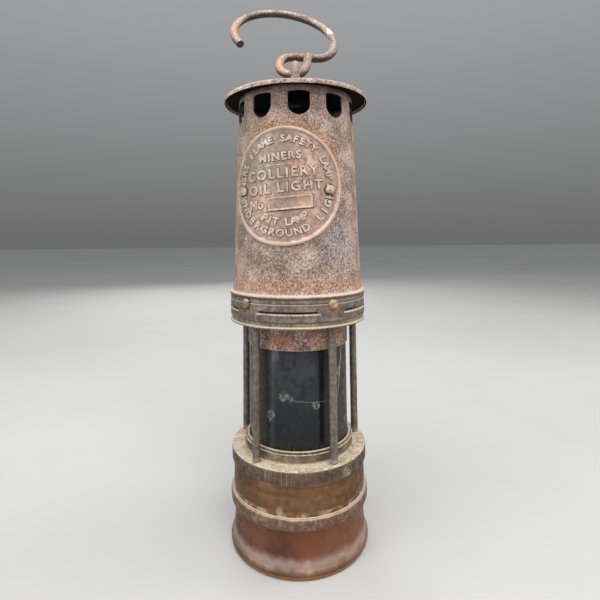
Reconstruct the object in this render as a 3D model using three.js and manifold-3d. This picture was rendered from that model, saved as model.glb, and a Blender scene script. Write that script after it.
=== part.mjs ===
// A miner's flame safety lamp: an oil vessel that screws into a five-pillar glass cage, a tapered
// steel bonnet over two wire gauzes, a hood, and a wire hook that hangs from a swivelling eye.
// Millimetres, +Z up. The origin is the middle of the foot, on the lamp's axis, and -Y is the front.
// An azimuth is an angle about +Z in degrees: 0 is the front (-Y) and 90 is +X.
import * as THREE from "three";
import { mergeVertices } from "three/addons/utils/BufferGeometryUtils.js";
import Module from "manifold-3d";

const wasm = await Module();
wasm.setup();

// ---- driving dimensions ------------------------------------------------------------------------
const gap = 0.3; // running gap between neighbouring pieces
const around = 30; // facets round a large turned piece
const aroundSmall = 10; // facets round a pin, screw or pillar

const bodyR = 41; // base ring, the size that the others follow
const footR = bodyR + 0.3;
const waistR = bodyR - 2.1;
const upperVesselR = bodyR - 1.3;
const beadR = bodyR + 0.5;
const vesselInnerR = bodyR - 3.5;
const neckR = 33.5;
const neckWall = 2;

const recessTop = 8; // ceiling of the recess under the foot
const beadLow = 24.3;
const beadHigh = 31.2;
const shoulderZ = 46.9; // top of the oil vessel's shoulder
const neckTop = 52.5;

const ringLow = 47.3; // base ring
const ringHigh = 54.7;
const collarTop = 59.5;
const seatZ = 55.5; // ledge that carries the glass

const glassR = 30.15; // 60.3 mm, the standard 2 3/8 inch lamp glass
const glassWall = 4.65;
const glassLow = 57.6;
const glassHigh = glassLow + 60.3;

const pillarCount = 5;
const pillarR = 2.25;
const pillarCircle = 36.9;
const firstPillar = -40.3;

const flangeLow = 129.1; // lower flange, the top of the cage
const flangeHigh = 130.4;
const flangeR = 42.2;
const bandLow = 132.8; // slotted air inlet band
const bandHigh = 145.1;
const bandR = 42;
const seamZ = 142.7;

const bonnetLow = 145.4;
const bonnetBaseR = 40.3; // outside radius just above the lip
const bonnetBaseZ = 150;
const bonnetHighR = 37; // outside radius beside the slots
const bonnetHighZ = 262;
const bonnetTop = 268;
const bonnetWall = 1.2;
const slotCount = 10;
const slotWidth = 13;
const slotLow = 250;
const slotTop = 264.6; // a narrow strip of the bonnet closes every slot under the hood
const slotCorner = 2;
const firstSlot = 3;

const hoodR = 46.9;
const hoodRimLow = 265.4;
const hoodCrown = 272;
const hoodSag = 3.6;
const hoodWall = 1.4;

const hookWire = 3; // radius of the hook's wire and of the eye's
const archR = 8.5;
const archTop = 293;
const hookPivotZ = archTop - 2 * hookWire - gap;
const hookLean = 35; // degrees that the hook leans back at rest

// ---- tools -------------------------------------------------------------------------------------
const radians = THREE.MathUtils.degToRad;

// A turned piece: [radius, height] points counter-clockwise, revolved about +Z.
function turned(points, facets = around) {
  const profile = points.map(([r, z]) => new THREE.Vector2(r, z));
  return new THREE.LatheGeometry(profile, facets).rotateX(Math.PI / 2);
}

// A turned piece with a hole through it: the outline closes on itself.
function ring(points, facets = around) {
  return turned([...points, points[0]], facets);
}

function tubeRing(inner, outer, low, high, facets = around) {
  return ring([[inner, low], [outer, low], [outer, high], [inner, high]], facets);
}

function rod(radius, low, high, facets = aroundSmall) {
  return turned([[0, low], [radius, low], [radius, high], [0, high]], facets);
}

// Round wire of one radius along a curve, closed at both ends.
function wire(curve, radius, steps, sides) {
  const section = new THREE.Shape().absarc(0, 0, radius, 0, 2 * Math.PI, false);
  const options = { steps, curveSegments: sides / 2, bevelEnabled: false, extrudePath: curve };
  return new THREE.ExtrudeGeometry(section, options);
}

// A flat sector between two radii and two azimuths, from one height to another.
function sector(inner, outer, from, to, low, high) {
  const a = radians(from - 90);
  const b = radians(to - 90);
  const outline = new THREE.Shape().absarc(0, 0, outer, a, b, false);
  outline.absarc(0, 0, inner, b, a, true);
  const options = { depth: high - low, bevelEnabled: false, curveSegments: 4 };
  return new THREE.ExtrudeGeometry(outline, options).translate(0, 0, low);
}

// The frame of a piece on the lamp's side: local X runs round it, Y is up and Z points outwards.
function facing(azimuth, radius, z) {
  const a = radians(azimuth);
  const outward = new THREE.Vector3(Math.sin(a), -Math.cos(a), 0);
  const along = new THREE.Vector3(Math.cos(a), Math.sin(a), 0);
  const frame = new THREE.Matrix4().makeBasis(along, new THREE.Vector3(0, 0, 1), outward);
  return frame.setPosition(outward.multiplyScalar(radius).setZ(z));
}

function solid(geometry) {
  const bare = geometry.clone();
  bare.deleteAttribute("normal");
  bare.deleteAttribute("uv");
  const merged = mergeVertices(bare, 1e-4);
  const vertProperties = merged.attributes.position.array;
  return new wasm.Manifold(
    new wasm.Mesh({ numProp: 3, vertProperties, triVerts: new Uint32Array(merged.index.array) }),
  );
}

function geometryOf(made) {
  const mesh = made.getMesh();
  const geometry = new THREE.BufferGeometry();
  geometry.setAttribute("position", new THREE.BufferAttribute(mesh.vertProperties, 3));
  geometry.setIndex(new THREE.BufferAttribute(mesh.triVerts, 1));
  geometry.computeVertexNormals();
  return geometry;
}

function cut(geometry, cutters) {
  let made = solid(geometry);
  for (const cutter of cutters) made = made.subtract(solid(cutter));
  return geometryOf(made);
}

function join(first, second) {
  return geometryOf(solid(first).add(solid(second)));
}

function repeat(count, first, make) {
  return Array.from({ length: count }, (_, i) => make(first + (i * 360) / count, i));
}

const metal = (color, roughness, metalness = 0.8) => ({ color, roughness, metalness });
const rustyIron = metal(0x6b4a3d, 0.85, 0.4);
const darkSteel = metal(0x3d3632, 0.6);
const wornBrass = metal(0x8a7346, 0.5);
const oldCopper = metal(0x6e3f2b, 0.45);
const gauzeSteel = metal(0x4a443f, 0.7);
const cotton = metal(0xcfc4ac, 0.95, 0);
const leather = metal(0x4b3020, 0.9, 0);
const smokedGlass = metal(0x0b0c0d, 0.15, 0);

const pieces = [];

function piece(name, geometry, finish, frame) {
  const mesh = new THREE.Mesh(geometry, new THREE.MeshStandardMaterial(finish));
  mesh.name = name;
  if (frame) mesh.applyMatrix4(frame);
  pieces.push(mesh);
}

// ---- oil vessel --------------------------------------------------------------------------------
const fillerX = -14;
const fillerHoleR = 6.3;
const prickerX = 12;
const prickerHoleR = 3.2;
const wickTubeR = 4.5;
const innerTop = 44; // ceiling of the oil space, and foot of the neck

function vesselShell() {
  const points = [[vesselInnerR + 0.2, 0], [footR - 1.6, 0], [footR - 0.4, 0.7], [footR, 2.2]];
  // The foot sweeps in to the waist as a quarter of an ellipse.
  const flareLow = 3.4;
  const flareHigh = 20;
  for (let i = 1; i <= 5; i++) {
    const t = i / 5;
    const bow = 1 - Math.sqrt(1 - (1 - t) ** 2);
    points.push([waistR + (footR - waistR) * bow, flareLow + (flareHigh - flareLow) * t]);
  }
  points.push([waistR + 0.1, beadLow - 1]);
  // The bead is a flattened half round.
  const beadMid = (beadLow + beadHigh) / 2;
  for (let i = 0; i <= 4; i++) {
    const a = Math.PI * (i / 4 - 0.5);
    const bulge = (beadR - upperVesselR) * Math.cos(a) ** 0.6;
    points.push([upperVesselR + bulge, beadMid + ((beadHigh - beadLow) / 2) * Math.sin(a)]);
  }
  const grooveLow = shoulderZ - 1.4;
  points.push([upperVesselR, shoulderZ], [36.5, shoulderZ], [36.5, grooveLow], [neckR, grooveLow]);
  points.push([neckR, neckTop], [neckR - neckWall, neckTop], [neckR - neckWall, innerTop]);
  points.push([vesselInnerR, innerTop], [vesselInnerR, 1]);
  return ring(points);
}

function oilVessel() {
  piece("oil_vessel", vesselShell(), oldCopper);

  const plateR = vesselInnerR - 0.4;
  const plate = turned([
    [0, recessTop], [plateR - 1, recessTop], [plateR - 1, 4.5], [plateR, 4.5],
    [plateR, recessTop + 1.2], [0, recessTop + 1.2],
  ]);
  const fillerHole = rod(fillerHoleR, 0, 20, 24).translate(fillerX, 0, 0);
  const tubeHole = rod(prickerHoleR, 0, 60).translate(prickerX, 0, 0);
  piece("vessel_base_plate", cut(plate, [fillerHole, tubeHole]), oldCopper);

  // The filler cap: a slotted head, and a threaded shank with its thread left plain.
  const capHead = [[0, 3.2], [8, 3.2], [8.5, 3.7], [8.5, 6.2], [6, 6.2], [6, 11], [0, 11]];
  const screwSlot = new THREE.BoxGeometry(20, 1.6, 2.4).translate(0, 0, 3.2);
  piece("filler_cap", cut(turned(capHead, 24), [screwSlot]).translate(fillerX, 0, 0), wornBrass);
  const washer = tubeRing(fillerHoleR + 0.1, 8.5, 6.5, recessTop - gap, 24);
  piece("filler_washer", washer.translate(fillerX, 0, 0), leather);

  // Cotton packing holds the oil.
  const packing = tubeRing(wickTubeR + 0.5, vesselInnerR - 2.5, 12, 38, 24);
  piece("cotton_packing", cut(packing, [tubeHole]), cotton);

  const washerLow = shoulderZ - 1.1;
  piece("seal_washer", tubeRing(neckR + 0.5, 36, washerLow, ringLow - gap), leather);
}

// ---- burner ------------------------------------------------------------------------------------
function burner() {
  const plateLow = 50.6;
  const plateHigh = 52.2;
  const plate = rod(neckR - neckWall - gap, plateLow, plateHigh, around);
  const tubeHole = rod(prickerHoleR, 0, 60).translate(prickerX, 0, 0);
  piece("burner_plate", cut(plate, [rod(wickTubeR + gap, 40, 60, 16), tubeHole]), wornBrass);

  const tubeTop = 66;
  const bore = wickTubeR - 0.8;
  const tube = ring([
    [bore, 39], [wickTubeR, 39], [wickTubeR, plateHigh + gap], [7.5, plateHigh + gap],
    [7.5, plateHigh + 1.3], [wickTubeR, plateHigh + 1.3], [wickTubeR, tubeTop], [bore, tubeTop],
  ], 16);
  piece("wick_tube", tube, wornBrass);
  piece("wick", rod(bore - gap, 30, tubeTop + 1.5, 16), cotton);

  // The pricker trims the flame: a bent wire in a tube through the vessel, held by a sleeve.
  const guide = tubeRing(2.2, 2.9, recessTop + gap, 56, aroundSmall);
  piece("pricker_tube", guide.translate(prickerX, 0, 0), wornBrass);
  const sleeve = tubeRing(1.35, 1.9, 9, 15, aroundSmall);
  piece("pricker_sleeve", sleeve.translate(prickerX, 0, 0), wornBrass);
  piece("pricker", prickerWire(), darkSteel);
}

function prickerWire() {
  const handleZ = 2.7;
  const handleX = prickerX + 13;
  const tipZ = 69.5;
  const tipX = prickerX - 8.5;
  const bend = 2.2;
  const at = (x, z) => new THREE.Vector3(x, 0, z);
  const path = new THREE.CurvePath();
  path.add(new THREE.LineCurve3(at(handleX, handleZ), at(prickerX + bend, handleZ)));
  path.add(
    new THREE.QuadraticBezierCurve3(
      at(prickerX + bend, handleZ), at(prickerX, handleZ), at(prickerX, handleZ + bend),
    ),
  );
  path.add(new THREE.LineCurve3(at(prickerX, handleZ + bend), at(prickerX, tipZ - bend)));
  path.add(
    new THREE.QuadraticBezierCurve3(
      at(prickerX, tipZ - bend), at(prickerX, tipZ), at(prickerX - bend, tipZ),
    ),
  );
  path.add(new THREE.LineCurve3(at(prickerX - bend, tipZ), at(tipX, tipZ)));
  return wire(path, 1, 34, 6);
}

// ---- glass cage --------------------------------------------------------------------------------
const lockAzimuth = 40.6;
const lockZ = 50.4;
const lockBore = 2.9;

function baseRing() {
  const threadR = neckR + 0.5;
  const ledgeLow = neckTop + 0.5;
  const seatWall = glassR + 1.95;
  const body = ring([
    [threadR, ringLow], [bodyR - 0.5, ringLow], [bodyR, ringLow + 0.6], [bodyR, ringHigh - 0.7],
    [bodyR - 0.7, ringHigh], [33, ringHigh], [33, collarTop], [seatWall, collarTop],
    [seatWall, seatZ], [26, seatZ], [26, ledgeLow], [threadR, ledgeLow],
  ]);
  const sockets = repeat(pillarCount, firstPillar, (azimuth) =>
    rod(1.8, ringHigh - 3.8, ringHigh + 1).applyMatrix4(
      facing(azimuth, pillarCircle, 0).multiply(new THREE.Matrix4().makeRotationX(-Math.PI / 2)),
    ),
  );
  const lockHole = rod(lockBore, 30, 50, 20).applyMatrix4(facing(lockAzimuth, 0, lockZ));
  piece("base_ring", cut(body, [...sockets, lockHole]), darkSteel);
}

// The magnetic lock: a sprung bolt in a radial bore, closed from outside by a plug.
function lock() {
  const place = facing(lockAzimuth, 0, lockZ);
  piece("lock_bolt", rod(lockBore - gap, 34.3, 36.4, 16), darkSteel, place);
  piece("lock_plug", rod(lockBore - gap, 39.4, bodyR - 0.2, 16), wornBrass, place);
  piece("lock_spring", wire(new Coil(1.8, 37, 39, 2.5), 0.25, 20, 6), darkSteel, place);
}

class Coil extends THREE.Curve {
  constructor(radius, low, high, turns) {
    super();
    Object.assign(this, { radius, low, high, turns });
  }
  getPoint(t, target = new THREE.Vector3()) {
    const a = 2 * Math.PI * this.turns * t;
    const z = this.low + (this.high - this.low) * t;
    return target.set(this.radius * Math.cos(a), this.radius * Math.sin(a), z);
  }
}

function glassAndSeals() {
  const bore = glassR - glassWall;
  const seatOuter = glassR + 1.65;
  piece("glass_seat_ring", tubeRing(glassR + gap, seatOuter, seatZ + gap, 60.7), wornBrass);
  piece("lower_gasket", tubeRing(27, glassR, seatZ + gap, glassLow - gap), leather);
  piece("glass", tubeRing(bore, glassR, glassLow, glassHigh), smokedGlass);
  piece("upper_gasket", tubeRing(bore + gap, glassR, glassHigh + gap, 119.7), leather);
  const ledge = 120;
  const outer = glassR + 1.15;
  const collar = ring([
    [glassR + gap, 115], [outer, 115], [outer, flangeLow - gap], [29.5, flangeLow - gap],
    [29.5, ledge + 1.2], [bore + 0.1, ledge + 1.2], [bore + 0.1, ledge], [glassR + gap, ledge],
  ]);
  piece("glass_collar", collar, rustyIron);
}

// Five pillars with spigots: the lower sits in the base ring, the upper is riveted over the flange.
function pillars() {
  const spigot = 1.5;
  const head = 2.3;
  const top = flangeHigh + gap;
  const profile = [
    [0, ringHigh - 3.4], [spigot, ringHigh - 3.4], [spigot, ringHigh + gap],
    [pillarR, ringHigh + gap], [pillarR, flangeLow - gap], [spigot, flangeLow - gap],
    [spigot, top], [head, top], [head - 0.4, top + 0.8], [0, top + 1.1],
  ];
  repeat(pillarCount, firstPillar, (azimuth, i) => {
    const a = radians(azimuth);
    const pillar = turned(profile, aroundSmall);
    const place = new THREE.Matrix4();
    place.makeTranslation(pillarCircle * Math.sin(a), -pillarCircle * Math.cos(a), 0);
    piece(`pillar_${i + 1}`, pillar, darkSteel, place);
  });
}

function lowerFlange() {
  const rim = 40.2;
  const plate = ring([
    [29.8, flangeLow], [flangeR - 0.3, flangeLow], [flangeR, flangeLow + 0.3],
    [flangeR, flangeHigh - 0.3], [flangeR - 0.3, flangeHigh], [rim + 1, flangeHigh],
    [rim + 1, bandLow - gap], [rim, bandLow - gap], [rim, flangeHigh], [29.8, flangeHigh],
  ]);
  const holes = repeat(pillarCount, firstPillar, (azimuth) => {
    const a = radians(azimuth);
    const hole = rod(1.8, flangeLow - 1, flangeHigh + 1);
    return hole.translate(pillarCircle * Math.sin(a), -pillarCircle * Math.cos(a), 0);
  });
  piece("lower_flange", cut(plate, holes), wornBrass);
}

// ---- air inlet band ----------------------------------------------------------------------------
const screwCount = 5;
const firstScrew = -44;
const screwZ = 142.15;
const screwHeadR = 3;
const screwHeadHigh = 1.6;
const screwShankR = 1.2;

function screwHoles() {
  return repeat(screwCount, firstScrew, (azimuth) =>
    rod(screwShankR + gap, 30, 50, 12).applyMatrix4(facing(azimuth, 0, screwZ)),
  );
}

function inletBand() {
  const inner = 39.2;
  const band = ring([
    [inner, bandLow], [bandR, bandLow], [bandR, seamZ - 0.4], [bandR - 0.5, seamZ - 0.3],
    [bandR - 0.5, seamZ + 0.1], [bandR, seamZ + 0.2], [bandR, bandHigh], [inner, bandHigh],
  ]);
  const firstInlet = -8;
  const inletHalf = 24; // degrees to each side of an inlet slot's middle
  const inletLow = 137.5;
  const inletHigh = 138.8;
  const slots = repeat(5, firstInlet, (azimuth) =>
    sector(36, 46, azimuth - inletHalf, azimuth + inletHalf, inletLow, inletHigh),
  );
  piece("inlet_band", cut(band, [...slots, ...screwHoles()]), darkSteel);
  piece("inlet_gauze", tubeRing(38, 38.7, bandLow + gap, 140.2), gauzeSteel);

  // Domed screws across the seam. Local zero is the band's face.
  const tail = -5.2;
  const screw = [[0, tail], [screwShankR, tail], [screwShankR, gap], [screwHeadR, gap]];
  for (let i = 1; i <= 3; i++) {
    const a = (i / 3) * (Math.PI / 2);
    screw.push([screwHeadR * Math.cos(a), gap + screwHeadHigh * Math.sin(a)]);
  }
  screw[screw.length - 1][0] = 0;
  repeat(screwCount, firstScrew, (azimuth, i) => {
    const place = facing(azimuth, bandR, screwZ);
    piece(`band_screw_${i + 1}`, turned(screw, 12), wornBrass, place);
  });
}

// ---- bonnet, gauzes and name plate --------------------------------------------------------------
function bonnetRadius(z) {
  const taper = (bonnetBaseR - bonnetHighR) / (bonnetHighZ - bonnetBaseZ);
  return bonnetBaseR - taper * (z - bonnetBaseZ);
}

const plateAzimuth = -11;
const plateZ = 209;
const plateR = 34.2;
const plateThick = 1;
const rivetAlong = 26.5; // distance of each plate rivet from the plate's middle, round the bonnet
const rivetZ = plateZ - 2.8; // the rivets sit a little under the middle

function rivetAzimuth(side) {
  return plateAzimuth + side * THREE.MathUtils.radToDeg(rivetAlong / bonnetRadius(plateZ));
}

function rivetHole(side) {
  return rod(1.45, 30, 50, 12).applyMatrix4(facing(rivetAzimuth(side), 0, rivetZ));
}

function bonnet() {
  const lipR = bandR + 0.4;
  const spigotR = 38.9;
  const shell = ring([
    [spigotR - 1.4, 140.5], [spigotR, 140.5], [spigotR, bonnetLow], [lipR, bonnetLow],
    [lipR, bonnetLow + 1.6], [lipR - 0.4, bonnetLow + 2], [bonnetBaseR + 0.4, bonnetLow + 2.4],
    [bonnetBaseR, bonnetBaseZ], [bonnetRadius(bonnetTop), bonnetTop],
    [bonnetRadius(bonnetTop) - bonnetWall, bonnetTop], [bonnetBaseR - bonnetWall, bonnetBaseZ],
    [spigotR - 1.4, bonnetLow + 1],
  ]);
  const slotHalf = slotWidth / 2;
  const outline = new THREE.Shape().absarc(0, slotLow + slotHalf, slotHalf, Math.PI, 0, false);
  const cornerX = slotHalf - slotCorner;
  const cornerZ = slotTop - slotCorner;
  outline.absarc(cornerX, cornerZ, slotCorner, 0, Math.PI / 2, false);
  outline.absarc(-cornerX, cornerZ, slotCorner, Math.PI / 2, Math.PI, false);
  const slots = repeat(slotCount, firstSlot, (azimuth) => {
    const options = { depth: 20, bevelEnabled: false, curveSegments: 3 };
    return new THREE.ExtrudeGeometry(outline, options).applyMatrix4(facing(azimuth, 28, 0));
  });
  const cutters = [...slots, ...screwHoles(), rivetHole(-1), rivetHole(1)];
  piece("bonnet", cut(shell, cutters), rustyIron);
}

// Two wire gauze caps stand one inside the other on a brass ring.
function gauzeCap(low, high, baseRadius, topRadius) {
  const wall = 0.5;
  return turned([
    [0, high - wall], [topRadius - wall, high - wall], [baseRadius - wall, low],
    [baseRadius, low], [topRadius, high], [0, high],
  ], 24);
}

function gauzes() {
  piece("gauze_ring", tubeRing(25.8, 29.2, 121.5, 124.5), wornBrass);
  piece("outer_gauze", gauzeCap(124.8, 243, 28.6, 22), gauzeSteel);
  piece("inner_gauze", gauzeCap(124.8, 232, 26.6, 20), gauzeSteel);
}

// Rolls a flat plate round the bonnet: local X becomes distance round it, Z the height above it.
function rolled(geometry) {
  const position = geometry.attributes.position;
  for (let i = 0; i < position.count; i++) {
    const z = plateZ + position.getY(i);
    const a = radians(plateAzimuth) + position.getX(i) / bonnetRadius(plateZ);
    const r = bonnetRadius(z) + gap + 0.05 + position.getZ(i);
    position.setXYZ(i, r * Math.sin(a), -r * Math.cos(a), z);
  }
  return geometry;
}

function namePlate() {
  const rim = 2.6;
  const high = plateThick + 0.7;
  const profile = [[0, 0]];
  const steps = 4;
  const field = plateR - rim - 0.6;
  for (let i = 1; i <= steps; i++) profile.push([(field * i) / steps, 0]);
  profile.push([plateR, 0], [plateR, high - 0.3], [plateR - 0.4, high], [plateR - rim, high]);
  for (let i = steps; i >= 0; i--) profile.push([(field * i) / steps, plateThick]);
  const plate = rolled(turned(profile, 28));
  piece("name_plate", cut(plate, [rivetHole(-1), rivetHole(1)]), oldCopper);

  // Rivets through plate and bonnet. Local zero is the plate's face.
  const tail = -(plateThick + gap + bonnetWall + 0.5);
  const rivet = [[0, tail - 1], [2, tail - 1], [2, tail], [1.1, tail], [1.1, gap], [2.9, gap]];
  rivet.push([2.6, gap + 0.8], [1.6, gap + 1.4], [0, gap + 1.6]);
  const face = bonnetRadius(rivetZ) + gap + plateThick;
  const frame = (side) => facing(rivetAzimuth(side), face, rivetZ);
  piece("plate_rivet_left", turned(rivet, 12), wornBrass, frame(-1));
  piece("plate_rivet_right", turned(rivet, 12), wornBrass, frame(1));
}

// ---- hood, swivel and hook ---------------------------------------------------------------------
function hoodTopAt(r) {
  return hoodCrown - hoodSag * (r / hoodR) ** 2;
}

function hood() {
  const hole = hookWire + gap;
  const points = [[hoodR - 1.1, hoodRimLow], [hoodR, hoodRimLow], [hoodR, hoodTopAt(hoodR) - 0.6]];
  const steps = 3;
  for (let i = 0; i <= steps; i++) {
    const r = hoodR - 0.6 - ((hoodR - 0.6 - hole) * i) / steps;
    points.push([r, hoodTopAt(r)]);
  }
  for (let i = steps; i >= 0; i--) {
    const r = hoodR - 1.1 - ((hoodR - 1.1 - hole) * i) / steps;
    points.push([r, hoodTopAt(r) - hoodWall]);
  }
  piece("hood", ring(points), rustyIron);
}

function swivel() {
  const discLow = hoodCrown + gap;
  const discHigh = discLow + 3;
  const headHigh = hoodCrown - hoodWall - 2.3;
  const base = turned([
    [0, headHigh - 2], [4.6, headHigh - 2], [5, headHigh - 1], [5, headHigh], [hookWire, headHigh],
    [hookWire, discLow], [12, discLow], [12, discHigh - 0.8], [11.2, discHigh], [0, discHigh],
  ], 24);
  const archZ = archTop - archR;
  const legFoot = discHigh - 1.5;
  const at = (y, z) => new THREE.Vector3(0, y, z);
  const path = new THREE.CurvePath();
  path.add(new THREE.LineCurve3(at(-archR, legFoot), at(-archR, archZ)));
  path.add(new HalfRound(archR, archZ));
  path.add(new THREE.LineCurve3(at(archR, archZ), at(archR, legFoot)));
  piece("swivel_eye", join(base, wire(path, hookWire, 18, 8)), rustyIron);
  const washerHigh = hoodCrown - hoodWall - gap;
  const washer = tubeRing(hookWire + gap, 7.5, headHigh + gap, washerHigh, 24);
  piece("swivel_washer", washer, rustyIron);
}

class HalfRound extends THREE.Curve {
  constructor(radius, z) {
    super();
    Object.assign(this, { radius, z });
  }
  getPoint(t, target = new THREE.Vector3()) {
    const a = Math.PI * t;
    return target.set(0, -this.radius * Math.cos(a), this.z + this.radius * Math.sin(a));
  }
}

// The hook in its own plane: across, up from the pivot, and out towards the front. The wire starts
// at the free end of the eye, which laps in front of the shank, and ends at the open tip.
const hookRoute = [
  [8.9, 15, 4.9], [8.3, 11, 3.6], [7.2, 6.2, 2], [4.4, 1.7, 0.7], [0, 0, 0],
  [-6, 2, -0.4], [-10.4, 7.4, -0.3], [-10.4, 14.6, 0], [-6.8, 20, 0], [0, 21.2, 0],
  [10, 19.6, 0], [19.6, 20, 0], [26, 26.4, 0], [27.8, 36.4, 0], [26.2, 47.4, 0], [21.4, 58, 0],
  [11, 69.6, 0], [-2, 77.8, 0], [-15, 81.4, 0], [-28, 80.4, 0], [-39.6, 73.2, 0], [-45.2, 61, 0],
  [-44.2, 48.5, 0], [-39.2, 38.4, 0],
];

function hook() {
  const points = hookRoute.map(([across, up, out]) => new THREE.Vector3(across, -out, up));
  const route = new THREE.CatmullRomCurve3(points, false, "centripetal");
  const shape = wire(route, hookWire, 60, 8);
  const place = new THREE.Matrix4().makeRotationX(-radians(hookLean));
  piece("hook", shape, rustyIron, place.setPosition(0, 0, hookPivotZ));
}

// ---- assembly ----------------------------------------------------------------------------------
const lamp = new THREE.Group();
const sections = [
  oilVessel, burner, baseRing, lock, glassAndSeals, pillars, lowerFlange, inletBand, bonnet,
  gauzes, namePlate, hood, swivel, hook,
];
for (const build of sections) build();
lamp.add(...pieces);

export default lamp;
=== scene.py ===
# %% [markdown]
# # A miner's flame safety lamp
#
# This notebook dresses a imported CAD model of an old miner's lamp. The CAD says where everything is
# and how it moves. Here each visible piece is modelled again, smooth and worn, and gets a finish
# made of nodes: pitted rust, handled brass, coal dust, sooty glass.
#
# Everything is in metres, +Z is up, and the front of the lamp faces -Y. Sizes are written in
# millimetres and multiplied by `mm`, because a lamp maker thinks in millimetres. An azimuth is an
# angle round the lamp's axis: 0 is the front and 90 is the right side.

import math

import bmesh
import bpy
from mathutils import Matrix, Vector


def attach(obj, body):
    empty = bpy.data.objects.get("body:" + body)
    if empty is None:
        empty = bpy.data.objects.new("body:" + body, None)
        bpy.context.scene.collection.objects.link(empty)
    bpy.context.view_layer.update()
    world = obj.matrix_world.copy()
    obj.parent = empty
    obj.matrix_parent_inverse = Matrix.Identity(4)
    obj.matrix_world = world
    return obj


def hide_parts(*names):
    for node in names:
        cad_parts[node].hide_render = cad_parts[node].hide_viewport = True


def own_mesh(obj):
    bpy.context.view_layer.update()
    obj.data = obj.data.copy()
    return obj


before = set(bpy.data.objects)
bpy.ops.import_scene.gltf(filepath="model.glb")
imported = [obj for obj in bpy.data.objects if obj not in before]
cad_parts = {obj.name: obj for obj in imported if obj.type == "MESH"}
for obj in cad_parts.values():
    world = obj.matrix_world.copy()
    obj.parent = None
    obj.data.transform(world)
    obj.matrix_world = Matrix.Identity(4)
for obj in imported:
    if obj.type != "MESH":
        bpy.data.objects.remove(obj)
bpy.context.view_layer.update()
mm = 0.001

# %% [markdown]
# ## Camera
#
# The lamp stands close to a wide lens, a little above the middle of the glass, so the foot is seen
# from above and the hood from below. The lens is shifted down, so that the whole lamp is in view
# while its sides stay nearly upright. A roll of half a degree leans the top to the left.

# %% Camera
bpy.ops.object.camera_add(location=(0, -0.2862, 0.1814))
camera = bpy.context.object
camera.name = "camera"
camera.rotation_euler = (math.radians(94.41), math.radians(0.57), 0)
camera.data.lens = 26.46
camera.data.sensor_width = 36
camera.data.shift_x = 0.0053
camera.data.shift_y = -0.1667
camera.data.clip_start = 0.01
bpy.context.scene.camera = camera
print("camera at", tuple(round(value, 3) for value in camera.location))

# %% [markdown]
# ## Light and floor
#
# Soft light from a large panel overhead makes every upward face pale, as an overcast sky does. A
# tall panel on the left draws the long upright gleam on the glass, and weaker ones in front, on the
# right and behind keep every side readable. The floor is one plain pale sheet.

# %% Light and floor
def light_panel(name, place, size, power, tint=(1, 1, 1)):
    """A soft rectangular light that faces the middle of the lamp."""
    bpy.ops.object.light_add(type="AREA", location=place)
    panel = bpy.context.object
    panel.name = name
    panel.data.shape = "RECTANGLE"
    panel.data.size, panel.data.size_y = size
    panel.data.energy = power
    panel.data.color = tint
    towards = Vector((0, 0, 0.17)) - Vector(place)
    panel.rotation_euler = towards.to_track_quat("-Z", "Y").to_euler()


light_panel("overhead_panel", (0, -0.25, 1.15), (1.0, 0.9), 15)
light_panel("left_panel", (-0.83, -0.56, 0.35), (0.42, 1.0), 4.5, (0.93, 0.97, 1))
light_panel("front_panel", (0.35, -1.1, 0.75), (0.7, 0.7), 7, (1, 0.98, 0.95))
light_panel("right_panel", (1.0, 0.1, 0.55), (0.5, 0.9), 4.5)
light_panel("back_panel", (-0.25, 1.15, 0.7), (0.8, 0.8), 7)

world = bpy.data.worlds.new("studio")
bpy.context.scene.world = world
world.use_nodes = True
sky = world.node_tree
direction = sky.nodes.new("ShaderNodeTexCoord")
height = sky.nodes.new("ShaderNodeSeparateXYZ")
fade = sky.nodes.new("ShaderNodeValToRGB")
sky.links.new(direction.outputs["Generated"], height.inputs[0])
sky.links.new(height.outputs["Z"], fade.inputs["Fac"])
sky.links.new(fade.outputs["Color"], sky.nodes["Background"].inputs["Color"])
fade.color_ramp.elements[0].color = (0.15, 0.15, 0.15, 1)
fade.color_ramp.elements[1].color = (0.52, 0.53, 0.54, 1)
middle = fade.color_ramp.elements.new(0.4)
middle.color = (0.33, 0.335, 0.34, 1)
bpy.context.scene.view_settings.view_transform = "Standard"

bpy.ops.object.select_all(action="DESELECT")
bpy.ops.mesh.primitive_plane_add(size=12, location=(0, 0, 0))
floor = bpy.context.object
floor.name = "floor"

# %% [markdown]
# ## Wiring nodes
#
# A finish is a small graph of nodes. `node` places one and fills its sockets by name, so that each
# finish below reads as a list of what it is made of. Colours are given as the eye sees them, from
# 0 to 255, and `tone` turns them into the linear values that a renderer adds up.

# %% Wiring nodes
def tone(red, green, blue):
    """A colour given in everyday 0 to 255 values, as linear light."""
    linear = []
    for value in (red, green, blue):
        value = value / 255
        linear.append(value / 12.92 if value <= 0.04045 else ((value + 0.055) / 1.055) ** 2.4)
    return (*linear, 1)


def plug(tree, value, socket):
    """Joins another node's output to a socket, or sets a plain value on it."""
    if isinstance(value, bpy.types.NodeSocket):
        tree.links.new(value, socket)
    else:
        socket.default_value = value


def node(tree, kind, **settings):
    """A node. Lower-case settings are the node's own, the others fill its sockets."""
    made = tree.nodes.new("ShaderNode" + kind)
    for key, value in settings.items():
        if key[0].islower():
            setattr(made, key, value)
        else:
            plug(tree, value, made.inputs[key.replace("_", " ")])
    return made


def maths(tree, operation, first, second=0.0):
    made = node(tree, "Math", operation=operation)
    plug(tree, first, made.inputs[0])
    plug(tree, second, made.inputs[1])
    return made.outputs[0]


def blend(tree, factor, under, over, kind="MIX"):
    """Lays one colour over another, as far as `factor` says."""
    made = node(tree, "Mix", data_type="RGBA", blend_type=kind)
    plug(tree, factor, made.inputs[0])
    plug(tree, under, made.inputs[6])
    plug(tree, over, made.inputs[7])
    return made.outputs[2]


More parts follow.
